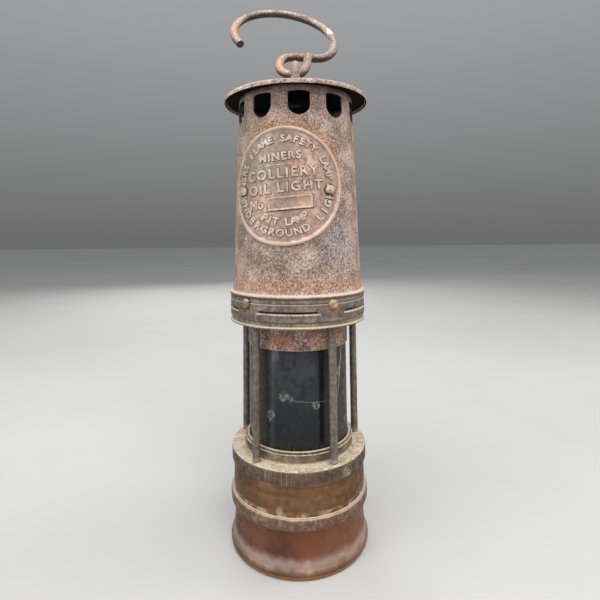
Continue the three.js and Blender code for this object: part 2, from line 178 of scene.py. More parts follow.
def ramp(tree, value, *stops):
    """Turns a value from 0 to 1 into a run of colours."""
    made = node(tree, "ValToRGB", Fac=value)
    run = made.color_ramp.elements
    while len(run) < len(stops):
        run.new(0.5)
    for stop, (place, colour) in zip(run, stops):
        stop.position = place
        stop.color = colour
    return made.outputs["Color"]


def spread(tree, value, low, high, to_low=0.0, to_high=1.0):
    """Moves the stretch from low to high onto another stretch, with soft ends."""
    made = node(tree, "MapRange", interpolation_type="SMOOTHSTEP", Value=value)
    for socket, limit in zip(("From Min", "From Max", "To Min", "To Max"),
                             (low, high, to_low, to_high)):
        plug(tree, limit, made.inputs[socket])
    return made.outputs["Result"]


def noise(tree, place, scale, detail=3.0, rough=0.6):
    made = node(tree, "TexNoise", Vector=place, Scale=scale, Detail=detail, Roughness=rough)
    return made.outputs["Fac"]


def new_group(name, inputs, outputs):
    """A shader node group with named sockets: its tree, its entry node and its exit node."""
    tree = bpy.data.node_groups.new(name, "ShaderNodeTree")
    for socket, value in inputs.items():
        kind = "NodeSocketVector" if isinstance(value, tuple) else "NodeSocketFloat"
        made = tree.interface.new_socket(name=socket, in_out="INPUT", socket_type=kind)
        made.default_value = value
    for socket in outputs:
        tree.interface.new_socket(name=socket, in_out="OUTPUT", socket_type="NodeSocketFloat")
    return tree, tree.nodes.new("NodeGroupInput").outputs, tree.nodes.new("NodeGroupOutput").inputs


def use_group(tree, name, **settings):
    """Places a node group in a finish with its own values, and gives its outputs."""
    return node(tree, "Group", node_tree=bpy.data.node_groups[name], **settings).outputs


print("a mid grey in linear light:", tuple(round(value, 3) for value in tone(128, 128, 128)))

# %% [markdown]
# ## Shared effects
#
# Five effects turn up on almost every piece, so each is a node group that is built once.
#
# - **Pitted grain** is the texture of old iron: broad clouds of colour, a fine grain, and pits.
# - **Settled dust** finds the faces that look up, where dust stays, and breaks it up with noise.
# - **Height band** is a soft stripe between two heights, for a piece that was turned on a lathe.
# - **Patch** is a ragged spot round a point, for stains, halos of rust, chips and bare metal.
# - **Turning lines** are the fine level rings that a lathe tool and a polishing rag leave.
#
# All of them read Object coordinates. Each piece sits at the origin, so these are metres on the lamp.

# %% Pitted grain
tree, given, out = new_group("Pitted grain", {"Size": 1.0}, ["Clouds", "Grain", "Pits", "Height"])
scaling = node(tree, "VectorMath", operation="SCALE")
plug(tree, node(tree, "TexCoord").outputs["Object"], scaling.inputs[0])
plug(tree, maths(tree, "DIVIDE", 1.0, given["Size"]), scaling.inputs["Scale"])
place = scaling.outputs[0]
grain = noise(tree, place, 720.0, 4.0)
cells = node(tree, "TexVoronoi", Vector=place, Scale=430.0).outputs["Distance"]
uneven = maths(tree, "MULTIPLY", maths(tree, "SUBTRACT", noise(tree, place, 1400.0), 0.5), 0.5)
pits = spread(tree, maths(tree, "ADD", cells, uneven), 0.42, 0.14)
pits = maths(tree, "MULTIPLY", pits, spread(tree, noise(tree, place, 190.0), 0.42, 0.62))
plug(tree, spread(tree, noise(tree, place, 62.0, 5.0), 0.32, 0.68), out["Clouds"])
plug(tree, spread(tree, grain, 0.3, 0.7), out["Grain"])
plug(tree, pits, out["Pits"])
plug(tree, maths(tree, "SUBTRACT", grain, maths(tree, "MULTIPLY", pits, 0.55)), out["Height"])
print("built", tree.name)

# %% Settled dust
tree, given, out = new_group("Settled dust", {"From": 0.35, "Full": 0.9}, ["Dust"])
seen = node(tree, "TexCoord").outputs
upward = node(tree, "SeparateXYZ", Vector=seen["Normal"]).outputs["Z"]
uneven = maths(tree, "SUBTRACT", noise(tree, seen["Object"], 190.0, 5.0, 0.7), 0.5)
level = maths(tree, "ADD", upward, maths(tree, "MULTIPLY", uneven, 0.7))
plug(tree, spread(tree, level, given["From"], given["Full"]), out["Dust"])
print("built", tree.name)

# %% Height band
tree, given, out = new_group("Height band", {"Low": 0.0, "High": 0.1, "Soft": 0.001}, ["Band"])
place = node(tree, "TexCoord").outputs["Object"]
height = node(tree, "SeparateXYZ", Vector=place).outputs["Z"]
uneven = maths(tree, "SUBTRACT", noise(tree, place, 160.0, 4.0), 0.5)
height = maths(tree, "ADD", height, maths(tree, "MULTIPLY", uneven, given["Soft"]))
above = spread(tree, height, given["Low"], maths(tree, "ADD", given["Low"], given["Soft"]))
below = spread(tree, height, given["High"], maths(tree, "SUBTRACT", given["High"], given["Soft"]))
plug(tree, maths(tree, "MULTIPLY", above, below), out["Band"])
print("built", tree.name)

# %% Patch
tree, given, out = new_group(
    "Patch", {"Centre": (0.0, 0.0, 0.0), "Inner": 0.0, "Outer": 0.01, "Ragged": 0.002}, ["Spot"]
)
place = node(tree, "TexCoord").outputs["Object"]
reach = node(tree, "VectorMath", operation="DISTANCE")
plug(tree, place, reach.inputs[0])
plug(tree, given["Centre"], reach.inputs[1])
uneven = maths(tree, "SUBTRACT", noise(tree, place, 330.0, 5.0, 0.7), 0.5)
reach = maths(tree, "ADD", reach.outputs["Value"], maths(tree, "MULTIPLY", uneven, given["Ragged"]))
plug(tree, spread(tree, reach, given["Outer"], given["Inner"]), out["Spot"])
print("built", tree.name)

# %% Turning lines
tree, given, out = new_group("Turning lines", {"Fineness": 900.0}, ["Lines"])
parts = node(tree, "SeparateXYZ", Vector=node(tree, "TexCoord").outputs["Object"]).outputs
level = node(tree, "CombineXYZ", X=maths(tree, "MULTIPLY", parts["X"], 9.0),
             Y=maths(tree, "MULTIPLY", parts["Y"], 9.0),
             Z=maths(tree, "MULTIPLY", parts["Z"], given["Fineness"])).outputs[0]
plug(tree, spread(tree, noise(tree, level, 1.0, 3.0), 0.3, 0.7), out["Lines"])
print("built", tree.name)

# %% [markdown]
# ## Finishes
#
# A real surface has a story: iron is rolled, rusts, is rubbed bare at the edges and gathers dust.
# Each finish is layered in that order. `begin` makes the metal from three tones that follow the
# grain and the clouds, `cover` lays stains and dust over it, and `end` sets the gloss and the relief.

# %% Building a finish
def begin(name, dark, middle, pale, size=1.0):
    """A new finish: its parts are kept together while layers are added."""
    made = bpy.data.materials.new(name)
    made.use_nodes = True
    tree = made.node_tree
    effect = use_group(tree, "Pitted grain", Size=size)
    shade = maths(tree, "MULTIPLY_ADD", effect["Grain"], 0.6)
    plug(tree, maths(tree, "MULTIPLY", effect["Clouds"], 0.4), shade.node.inputs[2])
    colour = ramp(tree, shade, (0.1, dark), (0.5, middle), (0.9, pale))
    shader = tree.nodes["Principled BSDF"]
    return {"made": made, "tree": tree, "shader": shader, "effect": effect, "colour": colour,
            "height": effect["Height"], "bare": 1.0}


def cover(work, mask, colour, kind="MIX", share=1.0, metal=None):
    """Lays a colour over the finish where the mask is, and says if it hides the bare metal."""
    tree = work["tree"]
    factor = maths(tree, "MULTIPLY", mask, share)
    work["colour"] = blend(tree, factor, work["colour"], colour, kind)
    if metal is not None:
        kept = maths(tree, "MULTIPLY", work["bare"], maths(tree, "SUBTRACT", 1.0, factor))
        work["bare"] = maths(tree, "ADD", kept, maths(tree, "MULTIPLY", factor, metal))
    return work


def end(work, metal, smooth, rough, depth, shine=0.3):
    """Sets the gloss: bare metal is smooth and covered metal is rough. `depth` is the relief."""
    tree, shader = work["tree"], work["shader"]
    plug(tree, work["colour"], shader.inputs["Base Color"])
    bare, gloss = work["bare"], work["effect"]["Grain"]
    if isinstance(bare, float):
        shader.inputs["Metallic"].default_value = metal
    else:
        plug(tree, maths(tree, "MULTIPLY", bare, metal), shader.inputs["Metallic"])
        gloss = maths(tree, "MULTIPLY", gloss, bare)
    plug(tree, spread(tree, gloss, 0.0, 1.0, rough, smooth), shader.inputs["Roughness"])
    shader.inputs["Specular IOR Level"].default_value = shine
    bump = node(tree, "Bump", Strength=1.0, Distance=depth * mm, Height=work["height"])
    plug(tree, bump.outputs["Normal"], shader.inputs["Normal"])
    return work["made"]


rust_dark, rust_middle, rust_pale = tone(102, 83, 74), tone(152, 131, 118), tone(204, 185, 170)
rust_orange, rust_red, rust_mauve = tone(174, 130, 98), tone(126, 90, 70), tone(146, 127, 128)
# The near-black tone is for soot, and for painted shade on faces that look down or lie under the hood.
dust_cream, soot_and_shade_black = tone(186, 170, 147), tone(17, 13, 11)
print("tones ready")

# %% [markdown]
# ### Rusty iron of the bonnet
#
# The bonnet is sheet iron that has rusted evenly and been brushed. It is a pinkish brown with pale
# and dark grains, mauve where old paint or bluing shows, and orange where water sat: round the name
# plate and just above the lip. The lip is pale along its top and darker just below. One patch low on
# the right is still bare grey metal. Its top, under the hood, is darkened as painted shade.

# %% Bonnet finish
def soot_and_shade_below(work, share=1.0):
    """Soot and painted shade where a face looks down."""
    tree = work["tree"]
    level = node(tree, "SeparateXYZ", Vector=node(tree, "TexCoord").outputs["Normal"]).outputs["Z"]
    return cover(work, spread(tree, level, -0.35, -0.8), soot_and_shade_black, share=share, metal=0.0)


work = begin("bonnet rust", rust_dark, rust_middle, rust_pale, 0.75)
tree, effect = work["tree"], work["effect"]
cover(work, effect["Clouds"], rust_mauve, share=0.2)
place = node(tree, "TexCoord").outputs["Object"]
orange = ramp(tree, effect["Grain"], (0.1, rust_red), (0.6, rust_orange), (1.0, tone(222, 176, 134)))
halo = use_group(tree, "Patch", Centre=(-0.0072, -0.037, 0.2125), Inner=0.0335, Outer=0.0395,
                 Ragged=0.007)["Spot"]
height = node(tree, "SeparateXYZ", Vector=place).outputs["Z"]
halo = maths(tree, "MULTIPLY", halo, spread(tree, height, 0.196, 0.226))
cover(work, halo, orange, share=0.5)
foot_rust = use_group(tree, "Height band", Low=0.1465, High=0.158, Soft=0.006)["Band"]
cover(work, foot_rust, orange, share=0.62)
drips = spread(tree, noise(tree, place, 38.0, 4.0), 0.52, 0.7)
cover(work, drips, orange, share=0.22)
grey = use_group(tree, "Patch", Centre=(0.0235, -0.031, 0.176), Inner=0.003, Outer=0.019,
                 Ragged=0.02)["Spot"]
cover(work, grey, ramp(tree, effect["Grain"], (0.2, tone(90, 84, 86)), (0.8, tone(164, 158, 160))),
      share=0.6)
cover(work, effect["Pits"], tone(72, 56, 50), share=0.6)
# Painted shade: the top of the bonnet, between the windows and the hood, is darkened as if in the hood's
# shadow.
shade = use_group(tree, "Height band", Low=0.2645, High=0.29, Soft=0.004)["Band"]
cover(work, shade, tone(44, 35, 31), share=0.85)
rim = use_group(tree, "Height band", Low=0.1440, High=0.1466, Soft=0.0004)["Band"]
cover(work, rim, tone(96, 82, 72), share=0.8)
lip = use_group(tree, "Height band", Low=0.1464, High=0.1480, Soft=0.0005)["Band"]
cover(work, lip, tone(200, 183, 165), share=0.85)
soot_and_shade_below(work)
bonnet_finish = end(work, 0.1, 0.75, 0.92, 0.4)
print(bonnet_finish.name, len(bonnet_finish.node_tree.nodes), "nodes")

# %% [markdown]
# ### Cut edges, hood and hook
#
# Where the slots were cut, the thin edge catches dust and light and looks cream; in the bonnet's
# windows its upper part is painted near black as shade under the hood. The hood has the bonnet's
# rust, greyer on top and black below with soot and painted shade. The hook is drawn wire that hands
# have kept smoother: pale above and painted dark below as shade, orange in its eye, and near white
# and metallic at one bend.

# %% Cut edge, hood and hook finishes
work = begin("cut edge", tone(134, 116, 102), tone(182, 164, 146), tone(212, 197, 180))
tree = work["tree"]
# Painted shade: above this height the cut edges, that is the walls of the bonnet's windows, are darkened.
painted_window_shade = use_group(tree, "Height band", Low=0.2520, High=0.30, Soft=0.003)["Band"]
cover(work, painted_window_shade, tone(50, 40, 35), share=0.9)
soot_and_shade_below(work)
edge_finish = end(work, 0.1, 0.6, 0.85, 0.1)

work = begin("hood rust", tone(112, 90, 80), tone(176, 154, 143), tone(216, 202, 190))
cover(work, work["effect"]["Pits"], tone(84, 64, 55), share=0.7)
tree = work["tree"]
place = node(tree, "TexCoord").outputs["Object"]
stains = spread(tree, noise(tree, place, 55.0, 5.0, 0.7), 0.46, 0.62)
cover(work, stains, tone(150, 112, 88), share=0.5)
dust = use_group(tree, "Settled dust", From=0.2, Full=0.95)["Dust"]
drift = spread(tree, noise(tree, place, 110.0, 6.0, 0.75), 0.36, 0.6, 0.35, 1.0)
cover(work, maths(tree, "MULTIPLY", dust, drift), tone(206, 192, 182), share=0.7)
soot_and_shade_below(work)
hood_finish = end(work, 0.1, 0.7, 0.92, 0.3, shine=0.06)

# The swivel washer under the hood is near black all over: soot, and painted shade.
work = begin("soot and shade iron", tone(12, 10, 9), tone(20, 17, 15), tone(34, 29, 26))
soot_and_shade_finish = end(work, 0.0, 0.8, 0.95, 0.2, shine=0.05)

work = begin("hook iron", tone(104, 88, 80), tone(142, 126, 116), tone(176, 160, 146), 0.8)
tree = work["tree"]
for centre, reach in (((-0.008, 0.004, 0.292), 0.021), ((-0.0475, 0.03, 0.332), 0.02)):
    spot = use_group(tree, "Patch", Centre=centre, Inner=0.002, Outer=reach, Ragged=0.012)["Spot"]
    cover(work, spot, tone(190, 144, 108), share=0.6)
cover(work, work["effect"]["Pits"], tone(80, 60, 50), share=0.6)
# A small near-white spot at one bend, made fully metallic.
bright_metal_spot = use_group(tree, "Patch", Centre=(0.0262, 0.0262, 0.3295), Inner=0.001, Outer=0.0046,
                   Ragged=0.003)["Spot"]
cover(work, bright_metal_spot, tone(236, 224, 200), metal=1.0)
# Painted shade: faces that look down are darkened, on the hook and on the swivel, which shares this finish.
level = node(tree, "SeparateXYZ", Vector=node(tree, "TexCoord").outputs["Normal"]).outputs["Z"]
cover(work, spread(tree, level, 0.15, -0.55), tone(40, 33, 30), share=0.9)
# The swivel's head and stem under the hood are painted near black: soot, and painted shade.
hidden = use_group(tree, "Height band", Low=0.25, High=0.2712, Soft=0.0006)["Band"]
cover(work, hidden, soot_and_shade_black, share=0.95)
hook_finish = end(work, 0.2, 0.45, 0.82, 0.16)
print(edge_finish.name, "/", hood_finish.name, "/", hook_finish.name)

# %% [markdown]
# ### The cast plate and its lettering
#
# The name plate is cast bronze. Its field is a pinkish copper with a greyish film towards the upper
# left and a rim painted bright as a highlight. A dark layer round the letters stands for dirt and
# painted shade, and a painted shadow rings each rivet. The raised letters are rubbed to a duller
# beige. The rivets and the band's screws are worn brass with dirt in their pits.

# %% Plate, letter and rivet finishes
work = begin("plate bronze", tone(132, 108, 96), tone(158, 133, 120), tone(182, 158, 144), 1.8)
tree = work["tree"]
film = use_group(tree, "Patch", Centre=(-0.019, -0.034, 0.224), Inner=0.004, Outer=0.03,
                 Ragged=0.012)["Spot"]
cover(work, film, tone(138, 131, 118), share=0.6)
for centre in ((0.004, -0.0395, 0.199), (-0.022, -0.033, 0.198), (0.0, -0.04, 0.222)):
    warm = use_group(tree, "Patch", Centre=centre, Inner=0.001, Outer=0.012, Ragged=0.01)["Spot"]
    cover(work, warm, tone(186, 144, 124), share=0.5)
cover(work, work["effect"]["Pits"], tone(92, 72, 60), share=0.35)
# Painted highlight: the rim round the plate's field is lightened all round.
inside = use_group(tree, "Patch", Centre=(-0.0074, -0.0381, 0.209), Inner=0.0318, Outer=0.0332,
                   Ragged=0.0005)["Spot"]
cover(work, maths(tree, "SUBTRACT", 1.0, inside), tone(208, 184, 169), share=0.65)
# Painted shadow: a dark ring on the plate round each rivet.
for centre in ((0.0190, -0.0351, 0.2062), (-0.0307, -0.0254, 0.2062)):
    rivet_shadow_ring = use_group(tree, "Patch", Centre=centre, Inner=0.0034, Outer=0.0046,
                            Ragged=0.0012)["Spot"]
    cover(work, rivet_shadow_ring, tone(64, 50, 42), share=0.8, metal=0.0)
plate_finish = end(work, 0.45, 0.38, 0.62, 0.09)

work = begin("letter bronze", tone(158, 138, 124), tone(186, 166, 150), tone(208, 190, 175), 1.6)
letter_finish = end(work, 0.25, 0.45, 0.65, 0.05)

# A dark layer round the letters and the number box: dirt, and painted shade round their raised edges.
work = begin("plate dirt and shade", tone(58, 45, 38), tone(86, 68, 59), tone(122, 100, 88), 1.2)
dirt_and_shade_finish = end(work, 0.1, 0.75, 0.9, 0.05)

work = begin("rivet brass", tone(112, 90, 72), tone(168, 144, 122), tone(206, 184, 160), 1.3)
cover(work, work["effect"]["Pits"], tone(96, 66, 44), share=0.7, metal=0.0)
soot_and_shade_below(work)
rivet_finish = end(work, 0.35, 0.4, 0.65, 0.08)

work = begin("screw brass", tone(94, 74, 60), tone(144, 120, 98), tone(190, 164, 138), 1.6)
cover(work, work["effect"]["Pits"], tone(84, 58, 42), share=0.7, metal=0.0)
soot_and_shade_below(work, 0.8)
screw_finish = end(work, 0.35, 0.42, 0.68, 0.1)
print(plate_finish.name, "/", letter_finish.name, "/", rivet_finish.name)

# %% [markdown]
# ### Steel and brass of the cage
#
# The air inlet band, the pillars and the base ring are dark steel, brown with handling and dusty on
# top. The lower flange is worn brass. The base ring carries the thickest dust, and
# its side shows upright marks where a wrench has bitten. A brown stain has crept out of one screw.

# %% Band, flange, pillar and ring finishes
work = begin("band steel", tone(88, 78, 71), tone(120, 108, 99), tone(154, 140, 130), 1.8)
tree = work["tree"]
place = node(tree, "TexCoord").outputs["Object"]
lines = use_group(tree, "Turning lines", Fineness=420.0)["Lines"]
cover(work, lines, tone(98, 88, 80), share=0.4)
# Painted highlight: a pale line along the seam's groove.
seam_highlight = use_group(tree, "Height band", Low=0.1420, High=0.1430, Soft=0.0003)["Band"]
cover(work, seam_highlight, tone(176, 162, 146), share=0.6)
ring_stain = use_group(tree, "Patch", Centre=(0.0200, -0.0370, 0.1420), Inner=0.003, Outer=0.0062,
                       Ragged=0.0035)["Spot"]
cover(work, ring_stain, tone(150, 112, 86), share=0.8)
# Painted shade: a dark ring round the left screw.
left_screw_shade = use_group(tree, "Patch", Centre=(-0.0292, -0.0302, 0.1427), Inner=0.0025, Outer=0.0048,
                        Ragged=0.002)["Spot"]
cover(work, left_screw_shade, tone(64, 52, 44), share=0.75)
dust = use_group(tree, "Settled dust", From=0.4, Full=0.95)["Dust"]
cover(work, dust, dust_cream, share=0.85, metal=0.0)
soot_and_shade_below(work, 0.8)
band_finish = end(work, 0.35, 0.42, 0.72, 0.07)

work = begin("flange brass", tone(96, 84, 70), tone(134, 120, 102), tone(168, 153, 132), 0.8)
dust = use_group(work["tree"], "Settled dust", From=0.3, Full=0.9)["Dust"]
cover(work, dust, dust_cream, share=0.8, metal=0.0)
# Painted highlight: a pale band along the top of the flange's rim.
flange_rim_highlight = use_group(work["tree"], "Height band", Low=0.1296, High=0.1308, Soft=0.0005)["Band"]
cover(work, flange_rim_highlight, tone(196, 182, 158), share=0.75)
soot_and_shade_below(work)
flange_finish = end(work, 0.3, 0.45, 0.75, 0.08)

work = begin("pillar steel", tone(82, 77, 71), tone(102, 97, 90), tone(126, 120, 111), 1.6)
tree = work["tree"]
place = node(tree, "TexCoord").outputs["Object"]
drawn = node(tree, "VectorMath", operation="MULTIPLY")
plug(tree, place, drawn.inputs[0])
drawn.inputs[1].default_value = (900, 900, 60)
streaks = spread(tree, noise(tree, drawn.outputs[0], 1.0, 4.0), 0.42, 0.72)
cover(work, streaks, tone(134, 118, 98), share=0.4)
scars = spread(tree, noise(tree, place, 120.0, 4.0), 0.6, 0.72)
cover(work, scars, tone(134, 102, 78), share=0.5, metal=0.0)
dust = use_group(tree, "Height band", Low=0.05, High=0.0585, Soft=0.003)["Band"]
cover(work, dust, dust_cream, share=0.55, metal=0.0)
pillar_finish = end(work, 0.45, 0.4, 0.7, 0.07)

work = begin("ring steel", tone(70, 57, 47), tone(88, 72, 59), tone(108, 90, 75), 2.0)
tree = work["tree"]
place = node(tree, "TexCoord").outputs["Object"]
upright = node(tree, "VectorMath", operation="MULTIPLY")
plug(tree, place, upright.inputs[0])
upright.inputs[1].default_value = (1100, 1100, 40)
marks = spread(tree, noise(tree, upright.outputs[0], 1.0, 2.0), 0.5, 0.66)
bitten = use_group(tree, "Patch", Centre=(-0.0125, -0.039, 0.051), Inner=0.006, Outer=0.014,
                   Ragged=0.004)["Spot"]
cover(work, maths(tree, "MULTIPLY", marks, bitten), tone(150, 134, 120), share=0.55)
streaks = spread(tree, noise(tree, upright.outputs[0], 0.35, 3.0), 0.5, 0.75)
cover(work, streaks, tone(124, 106, 88), share=0.4)
around_lock = use_group(tree, "Patch", Centre=(0.0267, -0.0311, 0.0504), Inner=0.0027, Outer=0.0044,
                        Ragged=0.003)["Spot"]
cover(work, around_lock, tone(140, 128, 108), share=0.6)
top_edge = use_group(tree, "Height band", Low=0.0538, High=0.056, Soft=0.0006)["Band"]
cover(work, top_edge, tone(150, 134, 112), share=0.5)
dust = use_group(tree, "Settled dust", From=0.2, Full=0.75)["Dust"]
cover(work, dust, dust_cream, metal=0.0)
drift = spread(tree, noise(tree, place, 190.0, 7.0, 0.8), 0.42, 0.6)
cover(work, maths(tree, "MULTIPLY", dust, drift), tone(122, 103, 80), share=0.8)
sand = spread(tree, noise(tree, place, 1100.0, 3.0, 0.7), 0.5, 0.62)
cover(work, maths(tree, "MULTIPLY", dust, sand), tone(216, 203, 180), share=0.75)
work["height"] = maths(tree, "ADD", work["height"], maths(tree, "MULTIPLY", marks, bitten))
ring_finish = end(work, 0.45, 0.38, 0.72, 0.1)

work = begin("seat brass", tone(92, 74, 56), tone(128, 108, 84), tone(164, 146, 118))
dust = use_group(work["tree"], "Settled dust", From=0.25, Full=0.8)["Dust"]
cover(work, dust, dust_cream, share=0.9, metal=0.0)
seat_finish = end(work, 0.35, 0.45, 0.75, 0.08)

work = begin("lock plug", tone(92, 86, 76), tone(134, 127, 112), tone(176, 168, 150), 0.9)
cover(work, work["effect"]["Pits"], tone(96, 112, 100), share=0.8)
plug_finish = end(work, 0.2, 0.5, 0.8, 0.3)

work = begin("collar rust", tone(74, 56, 50), tone(132, 108, 99), tone(200, 175, 160), 0.9)
tree = work["tree"]
blush = spread(tree, noise(tree, node(tree, "TexCoord").outputs["Object"], 95.0, 5.0), 0.45, 0.65)
cover(work, blush, tone(158, 104, 80), share=0.45)
cover(work, work["effect"]["Pits"], tone(62, 44, 38), share=0.7)
rim = use_group(tree, "Height band", Low=0.1145, High=0.1158, Soft=0.0006)["Band"]
cover(work, rim, tone(172, 150, 134), share=0.6)
collar_finish = end(work, 0.05, 0.75, 0.92, 0.4)
print("cage finishes ready")

# %% [markdown]
# ### Copper of the oil vessel
#
# The vessel is spun copper. Its upper part is browned, shows level polishing lines, and is painted
# darker towards its left and right sides as shade. The bead is duller, with cream dust lying on its
# top. The foot is redder, with a soft grey sheen painted where it flares as a reflection, and a
# brassy edge where it has been dragged over stone.

# %% Vessel finish
work = begin("vessel copper", tone(106, 72, 52), tone(126, 90, 66), tone(148, 110, 82), 2.6)
tree = work["tree"]
place = node(tree, "TexCoord").outputs["Object"]
lines = use_group(tree, "Turning lines", Fineness=1100.0)["Lines"]
cover(work, lines, tone(146, 112, 74), share=0.4)
streaks = use_group(tree, "Turning lines", Fineness=520.0)["Lines"]
cover(work, streaks, tone(72, 50, 34), share=0.45)
browner = spread(tree, noise(tree, place, 46.0, 4.0), 0.4, 0.62)
cover(work, browner, tone(96, 74, 50), share=0.25)
vessel_x = node(tree, "SeparateXYZ", Vector=place).outputs["X"]
# Painted shade: the vessel is darkened towards its left and right sides.
side = spread(tree, maths(tree, "ABSOLUTE", vessel_x), 0.014, 0.038)
cover(work, side, tone(74, 50, 36), share=0.6)
foot = use_group(tree, "Height band", Low=-0.01, High=0.0248, Soft=0.0008)["Band"]
redness = ramp(tree, work["effect"]["Clouds"], (0.1, tone(92, 58, 46)), (0.5, tone(112, 71, 56)),
               (0.95, tone(130, 84, 64)))
cover(work, foot, redness, share=0.85)
# Painted reflection: a pale grey sheen where the foot flares.
flare_reflection = use_group(tree, "Height band", Low=0.0022, High=0.0120, Soft=0.0055)["Band"]
cover(work, flare_reflection, tone(186, 164, 154), share=0.62, metal=0.6)
glow = use_group(tree, "Patch", Centre=(0.0045, -0.0388, 0.0165), Inner=0.002, Outer=0.012,
                 Ragged=0.008)["Spot"]
cover(work, glow, tone(138, 80, 56), share=0.45)
bead = use_group(tree, "Height band", Low=0.0243, High=0.0315, Soft=0.0007)["Band"]
mottle = spread(tree, noise(tree, place, 340.0, 5.0, 0.7), 0.3, 0.7)
bead_tone = ramp(tree, mottle, (0.1, tone(92, 68, 58)), (0.5, tone(108, 82, 70)),
                 (0.9, tone(136, 112, 96)))
cover(work, bead, bead_tone, share=0.85, metal=0.5)
hem = use_group(tree, "Height band", Low=-0.001, High=0.0026, Soft=0.0012)["Band"]
cover(work, hem, tone(186, 140, 84), share=0.6)
dust = use_group(tree, "Settled dust", From=0.3, Full=0.85)["Dust"]
cover(work, dust, dust_cream, share=0.95, metal=0.0)
corner = use_group(tree, "Height band", Low=0.0298, High=0.0338, Soft=0.0016)["Band"]
patchy = spread(tree, noise(tree, place, 210.0, 5.0), 0.42, 0.66)
cover(work, maths(tree, "MULTIPLY", corner, patchy), tone(186, 166, 134), share=0.8, metal=0.0)
for centre, inner, outer in (((-0.0107, -0.0382, 0.0337), 0.0001, 0.0026),
                             ((0.0231, -0.0321, 0.0080), 0.0001, 0.0018),
                             ((0.0040, -0.0403, 0.0075), 0.0001, 0.0030),
                             ((0.0045, -0.0405, 0.0040), 0.0001, 0.0024)):
    smear = use_group(tree, "Patch", Centre=centre, Inner=inner, Outer=outer, Ragged=0.006)["Spot"]
    cover(work, smear, tone(176, 152, 126), share=0.55, metal=0.0)
vessel_finish = end(work, 0.66, 0.36, 0.58, 0.04)
print(vessel_finish.name, len(vessel_finish.node_tree.nodes), "nodes")

# %% [markdown]
# ### Sooty glass
#
# Years of flame have blackened the inside of the glass, so no light comes through and what is seen
# is a dark body under a glossy skin. Brown dust clings to the sides and to the foot of the glass.
# Chips and a hairline crack show white where the glass is broken. A blue-grey reflection is
# painted across the front, with a thin bluish highlight near its left edge.

# %% Glass finish
made = bpy.data.materials.new("sooty glass")
made.use_nodes = True
tree = made.node_tree
shader = tree.nodes["Principled BSDF"]
place = node(tree, "TexCoord").outputs["Object"]
parts = node(tree, "SeparateXYZ", Vector=place).outputs
body = ramp(tree, noise(tree, place, 60.0, 4.0), (0.3, tone(10, 11, 13)), (0.7, tone(26, 28, 32)))
grime = spread(tree, maths(tree, "ABSOLUTE", parts["X"]), 0.0125, 0.021)
grime = maths(tree, "MULTIPLY", grime, spread(tree, noise(tree, place, 240.0, 6.0, 0.75), 0.3, 0.62))
base_grime = spread(tree, parts["Z"], 0.0685, 0.0595)
speckle = spread(tree, noise(tree, place, 900.0, 4.0, 0.7), 0.45, 0.62)
grime = maths(tree, "MAXIMUM", grime, maths(tree, "MULTIPLY", base_grime, speckle))
body = blend(tree, maths(tree, "MULTIPLY", grime, 0.7), body, tone(62, 50, 40))
# Painted reflection: a blue-grey sheet across the front of the glass, broken up by blotches.
front = maths(tree, "MULTIPLY", spread(tree, parts["X"], -0.0186, -0.0166),
              spread(tree, parts["X"], 0.0125, 0.009))
front_reflection = maths(tree, "MULTIPLY", front, spread(tree, parts["Z"], 0.066, 0.112, 0.0, 0.9))
blotches = noise(tree, place, 130.0, 6.0, 0.75)
front_reflection = maths(tree, "MULTIPLY", front_reflection, spread(tree, blotches, 0.35, 0.62, 0.15, 1.0))
body = blend(tree, front_reflection, body, tone(58, 60, 66))
# Painted highlight: a thin bluish line near the left edge of the front.
left_edge_highlight = spread(tree, maths(tree, "ABSOLUTE", maths(tree, "ADD", parts["X"], 0.0155)), 0.0024, 0.0004)
body = blend(tree, maths(tree, "MULTIPLY", left_edge_highlight, 0.3), body, tone(84, 90, 100))
sprinkle = maths(tree, "MULTIPLY", spread(tree, noise(tree, place, 1500.0, 3.0), 0.64, 0.72), 0.5)
body = blend(tree, sprinkle, body, tone(120, 112, 104))
chips, flaked = 0.0, spread(tree, noise(tree, place, 420.0, 3.0), 0.42, 0.58)
for centre, inner, outer, ragged in (
    ((-0.0078, -0.0291, 0.0897), 0.0001, 0.0034, 0.009),
    ((-0.0050, -0.0297, 0.0888), 0.0001, 0.0028, 0.008),
    ((0.0101, -0.0284, 0.0850), 0.0001, 0.0030, 0.006),
    ((-0.0161, -0.0255, 0.0785), 0.0001, 0.0036, 0.008),
    ((0.0237, -0.0186, 0.1010), 0.0004, 0.0036, 0.006),
):
    chip = use_group(tree, "Patch", Centre=centre, Inner=inner, Outer=outer, Ragged=ragged)["Spot"]
    outline = spread(tree, maths(tree, "ABSOLUTE", maths(tree, "SUBTRACT", chip, 0.45)), 0.4, 0.15)
    outline = maths(tree, "MULTIPLY", outline, flaked)
    chip = maths(tree, "ADD", maths(tree, "MULTIPLY", outline, 0.55), maths(tree, "MULTIPLY", chip, 0.15))
    chips = maths(tree, "MAXIMUM", chips, chip)
bow = maths(tree, "MULTIPLY", maths(tree, "SUBTRACT", noise(tree, place, 120.0), 0.5), 0.003)
crack_z = maths(tree, "SUBTRACT", 0.0873, maths(tree, "MULTIPLY", parts["X"], 0.08))
off_crack = maths(tree, "ABSOLUTE", maths(tree, "SUBTRACT", maths(tree, "ADD", parts["Z"], bow), crack_z))
crack = spread(tree, off_crack, 0.0003, 0.00005)
crack = maths(tree, "MULTIPLY", crack, spread(tree, parts["X"], -0.008, -0.003))
crack = maths(tree, "MULTIPLY", crack, spread(tree, parts["X"], 0.017, 0.0145))
lean = maths(tree, "MULTIPLY", maths(tree, "SUBTRACT", parts["Z"], 0.0914), 0.13)
off_side = maths(tree, "SUBTRACT", parts["X"], maths(tree, "ADD", 0.0232, lean))
